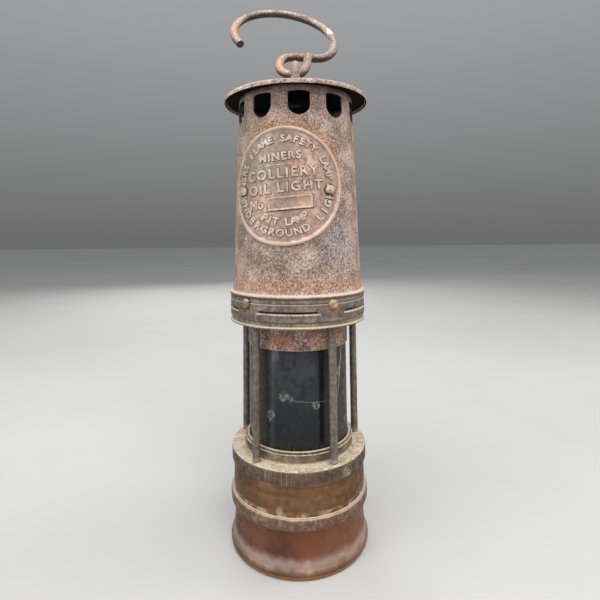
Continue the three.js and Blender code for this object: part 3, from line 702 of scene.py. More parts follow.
side_crack = spread(tree, maths(tree, "ABSOLUTE", maths(tree, "ADD", off_side, bow)), 0.00026, 0.00004)
side_crack = maths(tree, "MULTIPLY", side_crack, spread(tree, parts["Z"], 0.084, 0.087))
side_crack = maths(tree, "MULTIPLY", side_crack, spread(tree, parts["Y"], 0.0, -0.004))
both_cracks = maths(tree, "MAXIMUM", maths(tree, "MULTIPLY", crack, 0.3), side_crack)
broken = maths(tree, "MAXIMUM", chips, both_cracks)
plug(tree, blend(tree, broken, body, tone(150, 152, 148)), shader.inputs["Base Color"])
dull = maths(tree, "MAXIMUM", maths(tree, "MULTIPLY", grime, 0.9), broken)
plug(tree, spread(tree, dull, 0.0, 1.0, 0.16, 0.7), shader.inputs["Roughness"])
relief = maths(tree, "ADD", noise(tree, place, 300.0), maths(tree, "MULTIPLY", broken, 3.0))
bump = node(tree, "Bump", Strength=0.35, Distance=0.08 * mm, Height=relief)
plug(tree, bump.outputs["Normal"], shader.inputs["Normal"])
shader.inputs["IOR"].default_value = 1.5
shader.inputs["Specular IOR Level"].default_value = 0.28
glass_finish = made
print(glass_finish.name, len(tree.nodes), "nodes")

# %% [markdown]
# ### Inside and underneath
#
# A few finishes are seen only from below or through the slots: the base plate and the brass filler
# cap, woven gauze, cotton and leather. They get the same care in fewer nodes. The weave of the gauze
# is two sets of fine waves, one round the cap and one along it.

# %% Finishes of the inner pieces
work = begin("old brass", tone(92, 74, 46), tone(140, 114, 72), tone(182, 156, 106), 1.5)
cover(work, work["effect"]["Pits"], tone(70, 54, 34), share=0.6, metal=0.0)
dust = use_group(work["tree"], "Settled dust", From=0.5, Full=1.0)["Dust"]
cover(work, dust, tone(160, 144, 116), share=0.5, metal=0.0)
brass_finish = end(work, 0.6, 0.36, 0.6, 0.06)

work = begin("dull steel", tone(60, 55, 50), tone(98, 92, 86), tone(142, 134, 124), 1.3)
cover(work, work["effect"]["Pits"], tone(104, 72, 54), share=0.7, metal=0.0)
steel_finish = end(work, 0.6, 0.35, 0.62, 0.06)


def cloth_like(name, dark, pale, fineness, depth):
    """Cotton and leather: no shine, and a fine uneven surface."""
    made = bpy.data.materials.new(name)
    made.use_nodes = True
    tree, shader = made.node_tree, made.node_tree.nodes["Principled BSDF"]
    place = node(tree, "TexCoord").outputs["Object"]
    fibres = noise(tree, place, fineness, 5.0, 0.7)
    plug(tree, ramp(tree, fibres, (0.3, dark), (0.7, pale)), shader.inputs["Base Color"])
    plug(tree, spread(tree, fibres, 0.3, 0.7, 0.95, 0.8), shader.inputs["Roughness"])
    bump = node(tree, "Bump", Distance=depth * mm, Height=fibres)
    plug(tree, bump.outputs["Normal"], shader.inputs["Normal"])
    return made


cotton_finish = cloth_like("cotton", tone(150, 136, 112), tone(214, 202, 178), 1400.0, 0.25)
leather_finish = cloth_like("oiled leather", tone(46, 30, 20), tone(92, 64, 44), 900.0, 0.12)

made = bpy.data.materials.new("woven gauze")
made.use_nodes = True
tree, shader = made.node_tree, made.node_tree.nodes["Principled BSDF"]
parts = node(tree, "SeparateXYZ", Vector=node(tree, "TexCoord").outputs["Object"]).outputs
angle = maths(tree, "ARCTAN2", parts["Y"], parts["X"])
round_wires = maths(tree, "SINE", maths(tree, "MULTIPLY", angle, 140.0))
level_wires = maths(tree, "SINE", maths(tree, "MULTIPLY", parts["Z"], 2 * math.pi / 0.0009))
wires = spread(tree, maths(tree, "MAXIMUM", round_wires, level_wires), 0.1, 0.9)
gauze_colour = ramp(tree, wires, (0.1, tone(20, 18, 16)), (0.9, tone(120, 110, 98)))
plug(tree, gauze_colour, shader.inputs["Base Color"])
plug(tree, spread(tree, wires, 0.0, 1.0, 0.9, 0.55), shader.inputs["Roughness"])
shader.inputs["Metallic"].default_value = 0.4
bump = node(tree, "Bump", Distance=0.2 * mm, Height=wires)
plug(tree, bump.outputs["Normal"], shader.inputs["Normal"])
gauze_finish = made

made = bpy.data.materials.new("studio floor")
made.use_nodes = True
tree, shader = made.node_tree, made.node_tree.nodes["Principled BSDF"]
speck = noise(tree, node(tree, "TexCoord").outputs["Object"], 3.0, 3.0)
pale = ramp(tree, speck, (0.3, tone(168, 168, 166)), (0.7, tone(176, 176, 174)))
plug(tree, pale, shader.inputs["Base Color"])
shader.inputs["Roughness"].default_value = 0.85
floor.data.materials.append(made)
print("inner finishes ready")

# %% [markdown]
# ## Turning on the lathe
#
# Most of the lamp was turned or spun, so most pieces are made the same way here: a circle is added
# at the first point of the outline, and its ring of edges is extruded and scaled from point to
# point. A ring-shaped piece ends where it began and its doubles are merged; a solid one is capped.
# A Bevel modifier then takes off the sharp edges, as a file would.

# %% Lathe, bevel and cutting tools
def deselect():
    if bpy.context.mode != "OBJECT":
        bpy.ops.object.mode_set(mode="OBJECT")
    bpy.ops.object.select_all(action="DESELECT")


def take(piece):
    """Makes one piece the only selected and active one."""
    deselect()
    piece.select_set(True)
    bpy.context.view_layer.objects.active = piece
    return piece


def tidy_mesh(piece):
    """Merges doubles, fills open ends and turns the faces outwards."""
    take(piece)
    bpy.ops.object.mode_set(mode="EDIT")
    bpy.ops.mesh.select_all(action="SELECT")
    bpy.ops.mesh.remove_doubles(threshold=0.002 * mm)
    bpy.ops.mesh.fill_holes(sides=0)
    bpy.ops.mesh.select_all(action="SELECT")
    bpy.ops.mesh.normals_make_consistent(inside=False)
    bpy.ops.object.mode_set(mode="OBJECT")
    return piece


def turn(name, outline, sides=96, at=(0, 0), ring=True):
    """Turns an outline of (radius, height) points about an upright axis."""
    deselect()
    radius, height = outline[0]
    middle = [at[0] * mm, at[1] * mm]
    bpy.ops.mesh.primitive_circle_add(
        vertices=sides, radius=radius * mm, location=(*middle, height * mm)
    )
    piece = bpy.context.object
    piece.name = name
    bpy.ops.object.mode_set(mode="EDIT")
    bpy.ops.mesh.select_all(action="SELECT")
    for next_radius, next_height in outline[1:] + (outline[:1] if ring else []):
        rise = (0, 0, (next_height - height) * mm)
        bpy.ops.mesh.extrude_region_move(TRANSFORM_OT_translate={"value": rise})
        if next_radius == 0:
            bpy.ops.mesh.merge(type="CENTER")
        else:
            grow = next_radius / radius
            centre = (*middle, next_height * mm)
            bpy.ops.transform.resize(value=(grow, grow, 1), center_override=centre)
        radius, height = next_radius, next_height
    bpy.ops.object.mode_set(mode="OBJECT")
    bpy.ops.object.transform_apply(location=True, rotation=True, scale=True)
    return tidy_mesh(piece)


def modify(piece, kind, **settings):
    """Adds one modifier, sets it up and applies it."""
    take(piece)
    bpy.ops.object.modifier_add(type=kind)
    modifier = piece.modifiers[-1]
    for key, value in settings.items():
        setattr(modifier, key, value)
    bpy.ops.object.modifier_apply(modifier=modifier.name)
    return piece


def soften(piece, width, segments=2, angle=32):
    """Rounds every edge that is sharper than the angle."""
    return modify(piece, "BEVEL", width=width * mm, segments=segments, limit_method="ANGLE",
                  angle_limit=math.radians(angle), harden_normals=False)


def cut(piece, *cutters):
    """Cuts shapes out of a piece. The cut faces keep the cutter's finish."""
    deselect()
    for cutter in cutters:
        cutter.select_set(True)
    bpy.context.view_layer.objects.active = cutters[0]
    if len(cutters) > 1:
        bpy.ops.object.join()
    cutter = cutters[0]
    modify(piece, "BOOLEAN", operation="DIFFERENCE", solver="EXACT", object=cutter,
           material_mode="TRANSFER")
    take(cutter)
    bpy.ops.object.delete()
    return piece


def paint(piece, finish):
    piece.data.materials.clear()
    piece.data.materials.append(finish)
    return piece


def outwards(piece, azimuth, radius, height):
    """Lays a piece that was turned about +Z on the lamp's side, so that +Z points outwards."""
    take(piece)
    angle = math.radians(azimuth)
    piece.rotation_euler = (math.radians(90), 0, angle)
    piece.location = (radius * mm * math.sin(angle), -radius * mm * math.cos(angle), height * mm)
    bpy.ops.object.transform_apply(location=True, rotation=True, scale=True)
    return piece


def copy_round(piece, name, azimuth):
    """A copy with its own mesh, carried round the lamp's axis by an azimuth."""
    take(piece)
    bpy.ops.object.duplicate(linked=False)
    copy = bpy.context.object
    copy.name = name
    copy.rotation_euler = (0, 0, math.radians(azimuth))
    bpy.ops.object.transform_apply(location=True, rotation=True, scale=True)
    return copy


def pin(radius, low, high, at=(0, 0), sides=24):
    """A plain round bar to cut holes with."""
    return turn("cutter", [(radius, low), (radius, high)], sides, at, ring=False)


def finish_off(piece, body, slot, *nodes, smooth=38):
    """Smooths a piece, and hands it to the frame in place of its CAD nodes."""
    take(piece)
    bpy.ops.object.shade_smooth_by_angle(angle=math.radians(smooth))
    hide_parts(*nodes)
    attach(piece, body)
    deselect()
    print(piece.name, "has", len(piece.data.polygons), "faces")


deselect()
print("tools ready")

# %% [markdown]
# ## Oil vessel
#
# The vessel is one spun shell: a foot that flares, a bead round the middle, a straight upper part
# and a threaded neck that screws into the cage. The flare is a quarter of an ellipse. The bead has a
# flat top with a fine groove, where dust gathers. The thread is drawn as ridges all the same, which
# look like a thread and let the neck turn freely in the ring.

# %% Oil vessel
foot_r, waist_r, upper_r, bead_r = 41.3, 38.9, 39.7, 41.5
outline = [(37.7, 0.0), (39.7, 0.0), (40.6, 0.35), (41.1, 1.1), (foot_r, 2.2), (foot_r, 3.4)]
for step in range(1, 13):
    along = step / 12
    bow = 1 - math.sqrt(1 - (1 - along) ** 2)
    outline.append((waist_r + (foot_r - waist_r) * bow, 3.4 + 16.6 * along))
outline += [(waist_r + 0.1, 23.4), (39.6, 23.9), (40.7, 24.3), (41.2, 24.8), (41.4, 25.6),
            (bead_r, 27.0), (bead_r, 29.0), (41.3, 30.0), (41.0, 30.45), (40.7, 30.5),
            (40.55, 30.25), (40.35, 30.3), (40.2, 30.75), (39.95, 30.95), (upper_r, 30.85),
            (upper_r - 0.08, 31.6), (upper_r, 33.0), (upper_r, 46.4), (39.4, 46.9), (36.5, 46.9),
            (36.5, 45.5), (33.4, 45.5)]
for ridge in range(4):
    outline += [(33.3, 46.0 + 1.6 * ridge), (33.65, 46.6 + 1.6 * ridge), (33.65, 46.9 + 1.6 * ridge)]
outline += [(33.3, 52.0), (33.1, 52.5), (31.5, 52.5), (31.5, 44.0), (37.5, 44.0), (37.5, 1.0)]
vessel = turn("oil_vessel_copper", outline, sides=128)
print("vessel rings:", len(outline))
paint(soften(vessel, 0.12, 1, 50), vessel_finish)
finish_off(vessel, "vessel", "vessel_copper", "oil_vessel")

# %% [markdown]
# Under the foot a base plate closes the vessel. It has two holes: one for the brass filler cap, and
# one for the tube that the pricker wire slides in. The cap has a screwdriver slot and a fluted
# edge, made by insetting every second face and pushing it in.

# %% Under the foot
filler_x, pricker_x = -14, 12
plate = turn("vessel_base_plate_copper",
             [(36.1, 8), (36.1, 4.5), (37.1, 4.5), (37.1, 9.2)], ring=False)
paint(soften(plate, 0.25, 2, 50), vessel_finish)
cut(plate, pin(6.3, 5, 12, (filler_x, 0), 48), pin(3.2, 5, 12, (pricker_x, 0), 32))
finish_off(plate, "vessel", "vessel_copper", "vessel_base_plate")

cap = turn("filler_cap_brass", [(8.0, 3.2), (8.3, 3.3), (8.5, 3.7), (8.5, 6.2), (6, 6.2), (6, 7.0),
                                (5.7, 7.4), (6, 7.8), (6, 8.4), (5.7, 8.8), (6, 9.2), (6, 10.4),
                                (5.4, 11)], sides=60, at=(filler_x, 0), ring=False)
take(cap)
bpy.ops.object.mode_set(mode="EDIT")
bpy.ops.mesh.select_mode(type="FACE")
bpy.ops.mesh.select_all(action="DESELECT")
rim_mesh = bmesh.from_edit_mesh(cap.data)
for face in rim_mesh.faces:
    middle = face.calc_center_median() / mm
    turn_angle = math.degrees(math.atan2(middle.y, middle.x - filler_x)) % 360
    if 3.8 < middle.z < 6.1 and abs(face.normal.z) < 0.5 and int(turn_angle / 6) % 2 == 0:
        face.select = True
bmesh.update_edit_mesh(cap.data)
bpy.ops.mesh.inset(thickness=0.12 * mm, use_individual=True)
bpy.ops.transform.shrink_fatten(value=-0.25 * mm)
bpy.ops.mesh.select_mode(type="VERT")
bpy.ops.object.mode_set(mode="OBJECT")
paint(cap, brass_finish)
bpy.ops.mesh.primitive_cube_add(size=1, location=(filler_x * mm, 0, 3.2 * mm),
                                scale=(20 * mm, 1.6 * mm, 2.4 * mm))
cut(cap, paint(bpy.context.object, brass_finish))
finish_off(cap, "filler_cap", "worn_brass", "filler_cap")

sleeve = turn("pricker_sleeve_brass", [(1.35, 9), (1.9, 9), (1.9, 15), (1.35, 15)], 32, (pricker_x, 0))
paint(soften(sleeve, 0.1), brass_finish)
finish_off(sleeve, "pricker_sleeve", "worn_brass", "pricker_sleeve")
guide = turn("pricker_tube_brass", [(2.2, 8.3), (2.9, 8.3), (2.9, 56), (2.2, 56)], 32, (pricker_x, 0))
paint(soften(guide, 0.12), brass_finish)
finish_off(guide, "vessel", "worn_brass", "pricker_tube")

# %% [markdown]
# ## Wires
#
# The pricker, the hook and the swivel's arch are bent wire. A wire is drawn as a curve: points are
# extruded one after another along the route, the curve is given the wire's radius, and then it
# becomes a mesh. The route is smoothed first with a curve through its points, since a smith bends a
# rod in sweeps and not in corners.

# %% Wire tool
def sweep(route, steps):
    """More points on a smooth curve that passes through every point of the route."""
    points = [Vector(point) for point in route]
    points = [points[0] * 2 - points[1], *points, points[-1] * 2 - points[-2]]
    smooth = []
    for a, b, c, d in zip(points, points[1:], points[2:], points[3:]):
        at_b = math.sqrt((b - a).length)
        at_c = at_b + math.sqrt((c - b).length)
        at_d = at_c + math.sqrt((d - c).length)
        for step in range(steps):
            along = step / steps
            t = at_b + (at_c - at_b) * along
            ab, bc = a.lerp(b, t / at_b), b.lerp(c, along)
            cd = c.lerp(d, (t - at_c) / (at_d - at_c))
            abc, bcd = ab.lerp(bc, t / at_c), bc.lerp(cd, (t - at_b) / (at_d - at_b))
            smooth.append(abc.lerp(bcd, along))
    return smooth + [points[-2]]


def wire(name, points, radius, sides=6):
    """Round wire through points in metres. A curve has 2 x sides + 4 faces round it."""
    deselect()
    bpy.ops.curve.primitive_bezier_curve_add(location=(0, 0, 0))
    piece = bpy.context.object
    piece.name = name
    bpy.ops.object.mode_set(mode="EDIT")
    bpy.ops.curve.spline_type_set(type="POLY")
    bpy.ops.curve.select_all(action="DESELECT")
    spline = piece.data.splines[0]
    for point, place in zip(spline.points, points[:2]):
        point.co = (*place, 1)
    spline.points[1].select = True
    for before, after in zip(points[1:], points[2:]):
        bpy.ops.curve.extrude_move(TRANSFORM_OT_translate={"value": tuple(after - before)})
    bpy.ops.object.mode_set(mode="OBJECT")
    piece.data.dimensions = "3D"
    piece.data.bevel_depth = radius * mm
    piece.data.bevel_resolution = sides
    piece.data.use_fill_caps = True
    bpy.ops.object.convert(target="MESH")
    return tidy_mesh(bpy.context.object)


handle_z, tip_z, bend = 2.7, 69.5, 2.2
corner = [(pricker_x + bend, handle_z), (pricker_x + 0.65, handle_z + 0.65), (pricker_x, handle_z + bend)]
top = [(pricker_x, tip_z - bend), (pricker_x - 0.65, tip_z - 0.65), (pricker_x - bend, tip_z)]
route = [(pricker_x + 13, handle_z), *corner, *top, (pricker_x - 8.5, tip_z)]
pricker = wire("pricker_wire", sweep([Vector((x, 0, z)) * mm for x, z in route], 8), 0.98, 4)
paint(soften(pricker, 0.2, 2, 50), steel_finish)
finish_off(pricker, "pricker", "dark_steel", "pricker")

# %% [markdown]
# ## Base ring, seat and lock
#
# The base ring screws over the vessel's neck and carries the pillars. A thin collar and a brass seat
# ring stand up inside it round the glass: they are the pale circles at the foot of the glass. The
# lock plug is a small domed disc in the ring's side, and the lock's coil spring lies behind it.

# %% Base ring
first_pillar, pillar_circle = -40.3, 36.9
fifth_turn = 72  # degrees between neighbours where five stand in a ring
lock_azimuth, lock_z = 40.6, 50.4
ring = turn("base_ring_steel", [
    (34, 47.3), (40.5, 47.3), (40.85, 47.45), (41, 47.9), (41, 53.9), (40.8, 54.45), (40.3, 54.7),
    (36.5, 54.62), (34.2, 54.7), (33.3, 54.85), (33.0, 55.3), (33.0, 59.2), (32.8, 59.5), (32.3, 59.5),
    (32.1, 59.2), (32.1, 55.5), (26, 55.5), (26, 53), (34, 53),
], sides=128)
paint(soften(ring, 0.12, 1, 50), ring_finish)
sockets = []
for number in range(5):
    angle = math.radians(first_pillar + fifth_turn * number)
    spot = (pillar_circle * math.sin(angle), -pillar_circle * math.cos(angle))
    sockets.append(paint(pin(1.8, 50.9, 56, spot, 20), ring_finish))
bore = outwards(paint(pin(2.85, 30, 50), ring_finish), lock_azimuth, 0, lock_z)
cut(ring, *sockets, bore)
finish_off(ring, "cage", "dark_steel", "base_ring")

seat = turn("glass_seat_brass", [
    (30.45, 55.8), (31.8, 55.8), (31.8, 58.9), (31.6, 59.1), (31.6, 59.5), (31.8, 59.7), (31.8, 60.4),
    (31.5, 60.7), (30.7, 60.7), (30.45, 60.4),
])
paint(seat, seat_finish)
finish_off(seat, "cage", "worn_brass", "glass_seat_ring")

plug_piece = turn("lock_plug_disc", [
    (2.6, 0), (2.6, 0.95), (2.35, 1.2), (1.7, 1.3), (1.5, 1.18), (1.2, 1.18), (1.0, 1.32), (0, 1.4),
], 40, ring=False)
outwards(paint(plug_piece, plug_finish), lock_azimuth, 39.4, lock_z)
finish_off(plug_piece, "cage", "worn_brass", "lock_plug")

# %% Lock spring
# The coil lies behind the plug, and the bolt presses on it. The coil gets a mesh of its own.
coil_r, coil_turns, coil_low, coil_high, coil_wire, coil_steps = 1.8, 2.5, 37, 39, 0.22, 60
coil = []
for step in range(coil_steps + 1):
    share = step / coil_steps
    angle = 2 * math.pi * coil_turns * share
    rise = (coil_high - coil_low) * share
    coil.append(Vector((coil_r * math.cos(angle), coil_r * math.sin(angle), rise)) * mm)
spring = wire("lock_spring_coil", coil, coil_wire, 4)
outwards(paint(spring, steel_finish), lock_azimuth, coil_low, lock_z)
finish_off(spring, "cage", "dark_steel", "lock_spring")
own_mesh(spring)

# %% [markdown]
# ## Glass, collar and pillars
#
# The glass is a thick plain cylinder with ground ends. Above it a rusty iron collar holds it down;
# the collar's surface is really uneven, so a Displace modifier moves its points with a cloudy
# pattern. One pillar is turned with its spigots and its riveted head, and then copied five times.

# %% Relief tool, glass and collar
def roughen(piece, name, grain, depth, low=-1000.0, high=1000.0, middle=0.5):
    """Moves the surface between two heights in and out by a cloudy pattern, for real rust relief."""
    pattern = bpy.data.textures.new(name, type="CLOUDS")
    pattern.noise_scale = grain * mm
    pattern.noise_depth = 3
    take(piece)
    piece.vertex_groups.new(name="rough")
    rough = [v.index for v in piece.data.vertices if low * mm <= v.co.z <= high * mm]
    piece.vertex_groups["rough"].add(rough, 1.0, "REPLACE")
    modify(piece, "DISPLACE", texture=pattern, texture_coords="LOCAL", strength=depth * mm,
           mid_level=middle, vertex_group="rough")
    piece.vertex_groups.clear()
    return piece


def rows(start, stop, step):
    """Evenly spaced heights from one to another."""
    count = max(1, round(abs(stop - start) / step))
    return [start + (stop - start) * i / count for i in range(count + 1)]


glass = turn("lamp_glass", [(25.5, 57.6), (30.15, 57.6), (30.15, 117.9), (25.5, 117.9)], sides=128)
paint(soften(glass, 0.5, 3, 50), glass_finish)
finish_off(glass, "cage", "smoked_glass", "glass")

outline = [(30.5, 115.0)] + [(31.15, z) for z in rows(115.15, 128.6, 0.8)]
outline += [(29.5, 128.8), (29.5, 121.2), (25.6, 121.2), (25.6, 120), (30.5, 120)]
collar = turn("glass_collar_iron", outline, sides=160)
roughen(collar, "rust on the collar", 2.2, 0.45, 115.1, 128.7, 0.75)
paint(collar, collar_finish)
finish_off(collar, "cage", "rusty_iron", "glass_collar", smooth=60)

# %% Pillars
pillar = turn("pillar_steel_1", [
    (1.5, 51.3), (1.5, 54.98), (2.05, 55.0), (2.25, 55.3), (2.25, 56.4), (2.18, 58.0), (2.25, 60.0),
    (2.22, 75.0), (2.25, 92.0), (2.22, 110.0), (2.25, 124.0), (2.25, 128.4), (2.05, 128.8),
    (1.5, 128.8), (1.5, 130.7), (2.2, 130.7), (2.3, 130.9), (2.0, 131.4), (1.2, 131.7), (0, 131.8),
], 28, (0, -pillar_circle), ring=False)
paint(pillar, pillar_finish)
pillars = [copy_round(pillar, f"pillar_steel_{n + 1}", first_pillar + 72 * n) for n in range(5)]
take(pillar)
bpy.ops.object.delete()
for number, piece in enumerate(pillars, start=1):
    piece.name = f"pillar_steel_{number}"
    finish_off(piece, "cage", "dark_steel", f"pillar_{number}")

# %% [markdown]
# ## Flange and air inlet band
#
# The lower flange is a flat brass washer with a raised rim. The slotted band stands on it. Its long
# thin slots are cut with curved blades; a thin lip under each slot catches dust, so it shows as
# a bright line. The screws on the seam are domed, with a worn flat and a punch mark.

# %% Flange and band
flange = turn("lower_flange_brass", [
    (29.8, 129.1), (41.8, 129.1), (42.1, 129.25), (42.2, 129.6), (42.15, 130.1), (41.9, 130.4),
    (41.2, 130.4), (41.2, 132.5), (40.2, 132.5), (40.2, 130.4), (29.8, 130.4),
], sides=128)
paint(soften(flange, 0.1, 1, 50), flange_finish)
holes = []
for number in range(5):
    angle = math.radians(first_pillar + fifth_turn * number)
    spot = (pillar_circle * math.sin(angle), -pillar_circle * math.cos(angle))
    holes.append(paint(pin(1.8, 128, 130.6, spot, 20), flange_finish))
cut(flange, *holes)
finish_off(flange, "cage", "worn_brass", "lower_flange")

band_r, screw_z, first_screw = 42, 142.15, -44
band = turn("inlet_band_steel", [
    (39.2, 132.8), (41.7, 132.8), (41.95, 132.95), (band_r, 133.3), (band_r, 142.2), (41.75, 142.4),
    (41.5, 142.45), (41.5, 142.85), (41.75, 142.9), (band_r, 143.1), (band_r, 144.7), (41.8, 145.1),
    (39.2, 145.1),
], sides=180)
paint(band, band_finish)


def join_to(base, others):
    """Joins the others into the base's mesh. The base keeps its name."""
    deselect()
    for other in others:
        other.select_set(True)
    base.select_set(True)
    bpy.context.view_layer.objects.active = base
    bpy.ops.object.join()


def slot_blade(azimuth, half, inner, outer, low, high):
    """A flat curved blade: part of a ring between two azimuths, with straight ends."""
    blade = turn("blade", [(inner, low), (outer, low), (outer, high), (inner, high)], sides=180)
    take(blade)
    bpy.ops.object.mode_set(mode="EDIT")
    for side in (-1, 1):
        angle = math.radians(azimuth + side * half)
        bpy.ops.mesh.select_all(action="SELECT")
        normal = (side * math.cos(angle), side * math.sin(angle), 0)
        bpy.ops.mesh.bisect(plane_co=(0, 0, 0), plane_no=normal, use_fill=False, clear_outer=True,
                            threshold=1e-7)
    bpy.ops.object.mode_set(mode="OBJECT")
    return tidy_mesh(blade)


first_inlet = -8
blades = [paint(slot_blade(first_inlet + fifth_turn * n, 24, 36, 46, 137.5, 138.8), edge_finish)
          for n in range(5)]
cut(band, *blades)
lips = [slot_blade(first_inlet + fifth_turn * n, 25.5, 41.6, 42.35, 136.6, 137.5) for n in range(5)]
deselect()
for lip in lips:
    paint(soften(lip, 0.18, 2, 50), edge_finish)
join_to(band, lips)
finish_off(band, "cage", "dark_steel", "inlet_band")

screw = turn("band_screw_head", [
    (1.2, -5.2), (1.2, 0.25), (2.9, 0.25), (3.0, 0.45), (2.95, 0.8), (2.65, 1.2), (2.2, 1.52),
    (1.6, 1.76), (1.0, 1.86), (0.8, 1.7), (0.4, 1.6), (0, 1.58),
], 36, ring=False)
outwards(paint(screw, screw_finish), 0, band_r, screw_z)
for number in range(5):
    piece = copy_round(screw, f"band_screw_brass_{number + 1}", first_screw + fifth_turn * number)
    finish_off(piece, "cage", "worn_brass", f"band_screw_{number + 1}")
take(screw)
bpy.ops.object.delete()

# %% [markdown]
# ## Bonnet
#
# The bonnet is a cone of sheet iron with ten slots under the hood. Its outline is split into many
# rows, so that a Displace modifier can give the whole cone real rust relief, and then the slots are
# cut with blades that have round lower ends and nearly flat tops. The blades carry the pale cut-edge
# finish, which the Boolean passes on to the walls of the slots.

# %% Bonnet
cone_low, cone_rise, cone_wide, cone_narrow = 150, 112, 40.3, 37.0


def bonnet_r(height):
    """Outside radius of the tapered bonnet at a height."""
    return cone_wide - (cone_wide - cone_narrow) * (height - cone_low) / cone_rise


outline = [(37.5, 140.5), (38.9, 140.5), (38.9, 145.4), (42.25, 145.4), (42.4, 145.6), (42.4, 146.6),
           (42.1, 147.1), (41.6, 147.35), (40.9, 147.6), (40.5, 148.4)]
outline += [(bonnet_r(z) - 0.02, z) for z in rows(150, 268, 1.0)]
outline += [(bonnet_r(z) - 1.2, z) for z in rows(268, 150, 10)] + [(37.5, 146.4)]
bonnet = turn("bonnet_iron", outline, sides=240)
roughen(bonnet, "broad rust", 9.0, 0.30, 149.5, 267.5, 0.5)
roughen(bonnet, "fine rust", 1.9, 0.34, 148.2, 267.9, 0.55)
paint(bonnet, bonnet_finish)
slot_half, slot_low, slot_top, first_slot, flatter = 6.5, 250, 264.6, 3, 0.2
top_middle = (slot_top - slot_low - slot_half - flatter * slot_half) / (1 - flatter)
blades = []
for number in range(10):
    deselect()
    bpy.ops.mesh.primitive_cylinder_add(vertices=40, radius=slot_half * mm, depth=20 * mm)
    blade = bpy.context.object
    bpy.ops.object.mode_set(mode="EDIT")
    bpy.ops.mesh.select_mode(type="VERT")
    bpy.ops.mesh.select_all(action="DESELECT")
    blade_mesh = bmesh.from_edit_mesh(blade.data)
    for corner in blade_mesh.verts:
        corner.select = corner.co.y > 0.01 * mm
    blade_mesh.select_flush(True)
    bmesh.update_edit_mesh(blade.data)
    bpy.ops.transform.resize(value=(1, flatter, 1), center_override=(0, top_middle * mm, 0))
    bpy.ops.object.mode_set(mode="OBJECT")
    bpy.ops.object.transform_apply(location=True, rotation=True, scale=True)
    outwards(blade, first_slot + 36 * number, 38, slot_low + slot_half)
    blades.append(paint(blade, edge_finish))
cut(bonnet, *blades)
finish_off(bonnet, "cage", "rusty_iron", "bonnet", smooth=50)

# %% [markdown]
# ## Name plate
#
# The plate is cast flat and then rolled round the bonnet, and it is made the same way here. A disc
# with a rolled rim is turned, a raised number box and a thin rule are added, and plain words stand in
# for the maker's casting. Everything is joined, sliced into narrow upright strips with bisect so
# that it can curve, bent with a Simple Deform modifier, and tapered to follow the bonnet's cone.

# %% Flat plate
plate_r, plate_face, plate_azimuth, plate_z = 34.2, 1.0, -11, 209
bend_r = bonnet_r(plate_z)
disc = turn("name_plate_bronze", [
    (34.0, 0.35), (plate_r, 0.5), (plate_r, 1.6), (34.05, 1.9), (33.7, 2.05), (33.0, 2.05),
    (32.4, 1.9), (32.0, 1.6), (31.7, 1.4), (31.2, 1.35),
], 144, ring=False)
paint(disc, plate_finish)
outwards(disc, 0, 0, 0)
lettering_tilt = math.radians(-4.5)


def set_in_plate(piece, across, up, turned=0.0):
    """Stands a flat piece on the plate's face, as seen from the front."""
    take(piece)
    tilt = lettering_tilt
    x = across * math.cos(tilt) + up * math.sin(tilt)
    z = -across * math.sin(tilt) + up * math.cos(tilt)
    piece.rotation_euler = (math.radians(90), tilt + turned, 0)
    piece.location = (x * mm, -(0.35 + plate_face - 0.05) * mm, z * mm)
    bpy.ops.object.transform_apply(location=True, rotation=True, scale=True)
    return piece


def word(text, size, across, up, turned=0.0, stretch=1.0):
    """Raised letters with rounded edges, on a thin wider dark layer: dirt and painted shade round them."""
    pair = []
    for proud, wider, finish in ((0.60, 0.14, letter_finish), (0.10, 0.52, dirt_and_shade_finish)):
        deselect()
        bpy.ops.object.text_add(location=(0, 0, 0))
        letters = bpy.context.object.data
        letters.body = text
        letters.size = size * mm
        letters.align_x = "CENTER"
        letters.align_y = "CENTER"
        letters.offset = wider * mm
        letters.extrude = proud * mm
        letters.bevel_depth = 0.1 * mm if proud > 0.2 else 0
        letters.bevel_resolution = 1
        letters.resolution_u = 3
        letters.space_character = stretch
        bpy.ops.object.convert(target="MESH")
        made = paint(bpy.context.object, finish)
        pair.append(set_in_plate(made, across, up, turned))
    return pair


def arc(text, size, radius, first, last, upright=True):
    """Single letters set round the plate. Angles are clockwise from the top."""
    made = []
    for number, letter in enumerate(text):
        if letter == " ":
            continue
        angle = math.radians(first + (last - first) * number / (len(text) - 1))
        across, up = radius * math.sin(angle), radius * math.cos(angle)
        made += word(letter, size, across, up, angle if upright else angle + math.pi)
    return made


raised = arc("MINERS FLAME SAFETY LAMP", 5.6, 26.9, -99, 84)
raised += arc("UNDERGROUND LIGHT", 5.8, 27.2, 258, 97, upright=False)
raised += arc("PIT LAMP", 6.2, 21.0, 214, 150, upright=False)
raised += word("MINERS", 6.4, -0.8, 16.4, stretch=1.2)
raised += word("COLLIERY", 7.9, -0.8, 6.8, stretch=1.24)
raised += word("OIL LIGHT", 7.6, 0.3, -1.5, stretch=1.26)
raised += word("No", 7.2, -16.6, -10.0)
print(len(raised), "pieces of lettering")

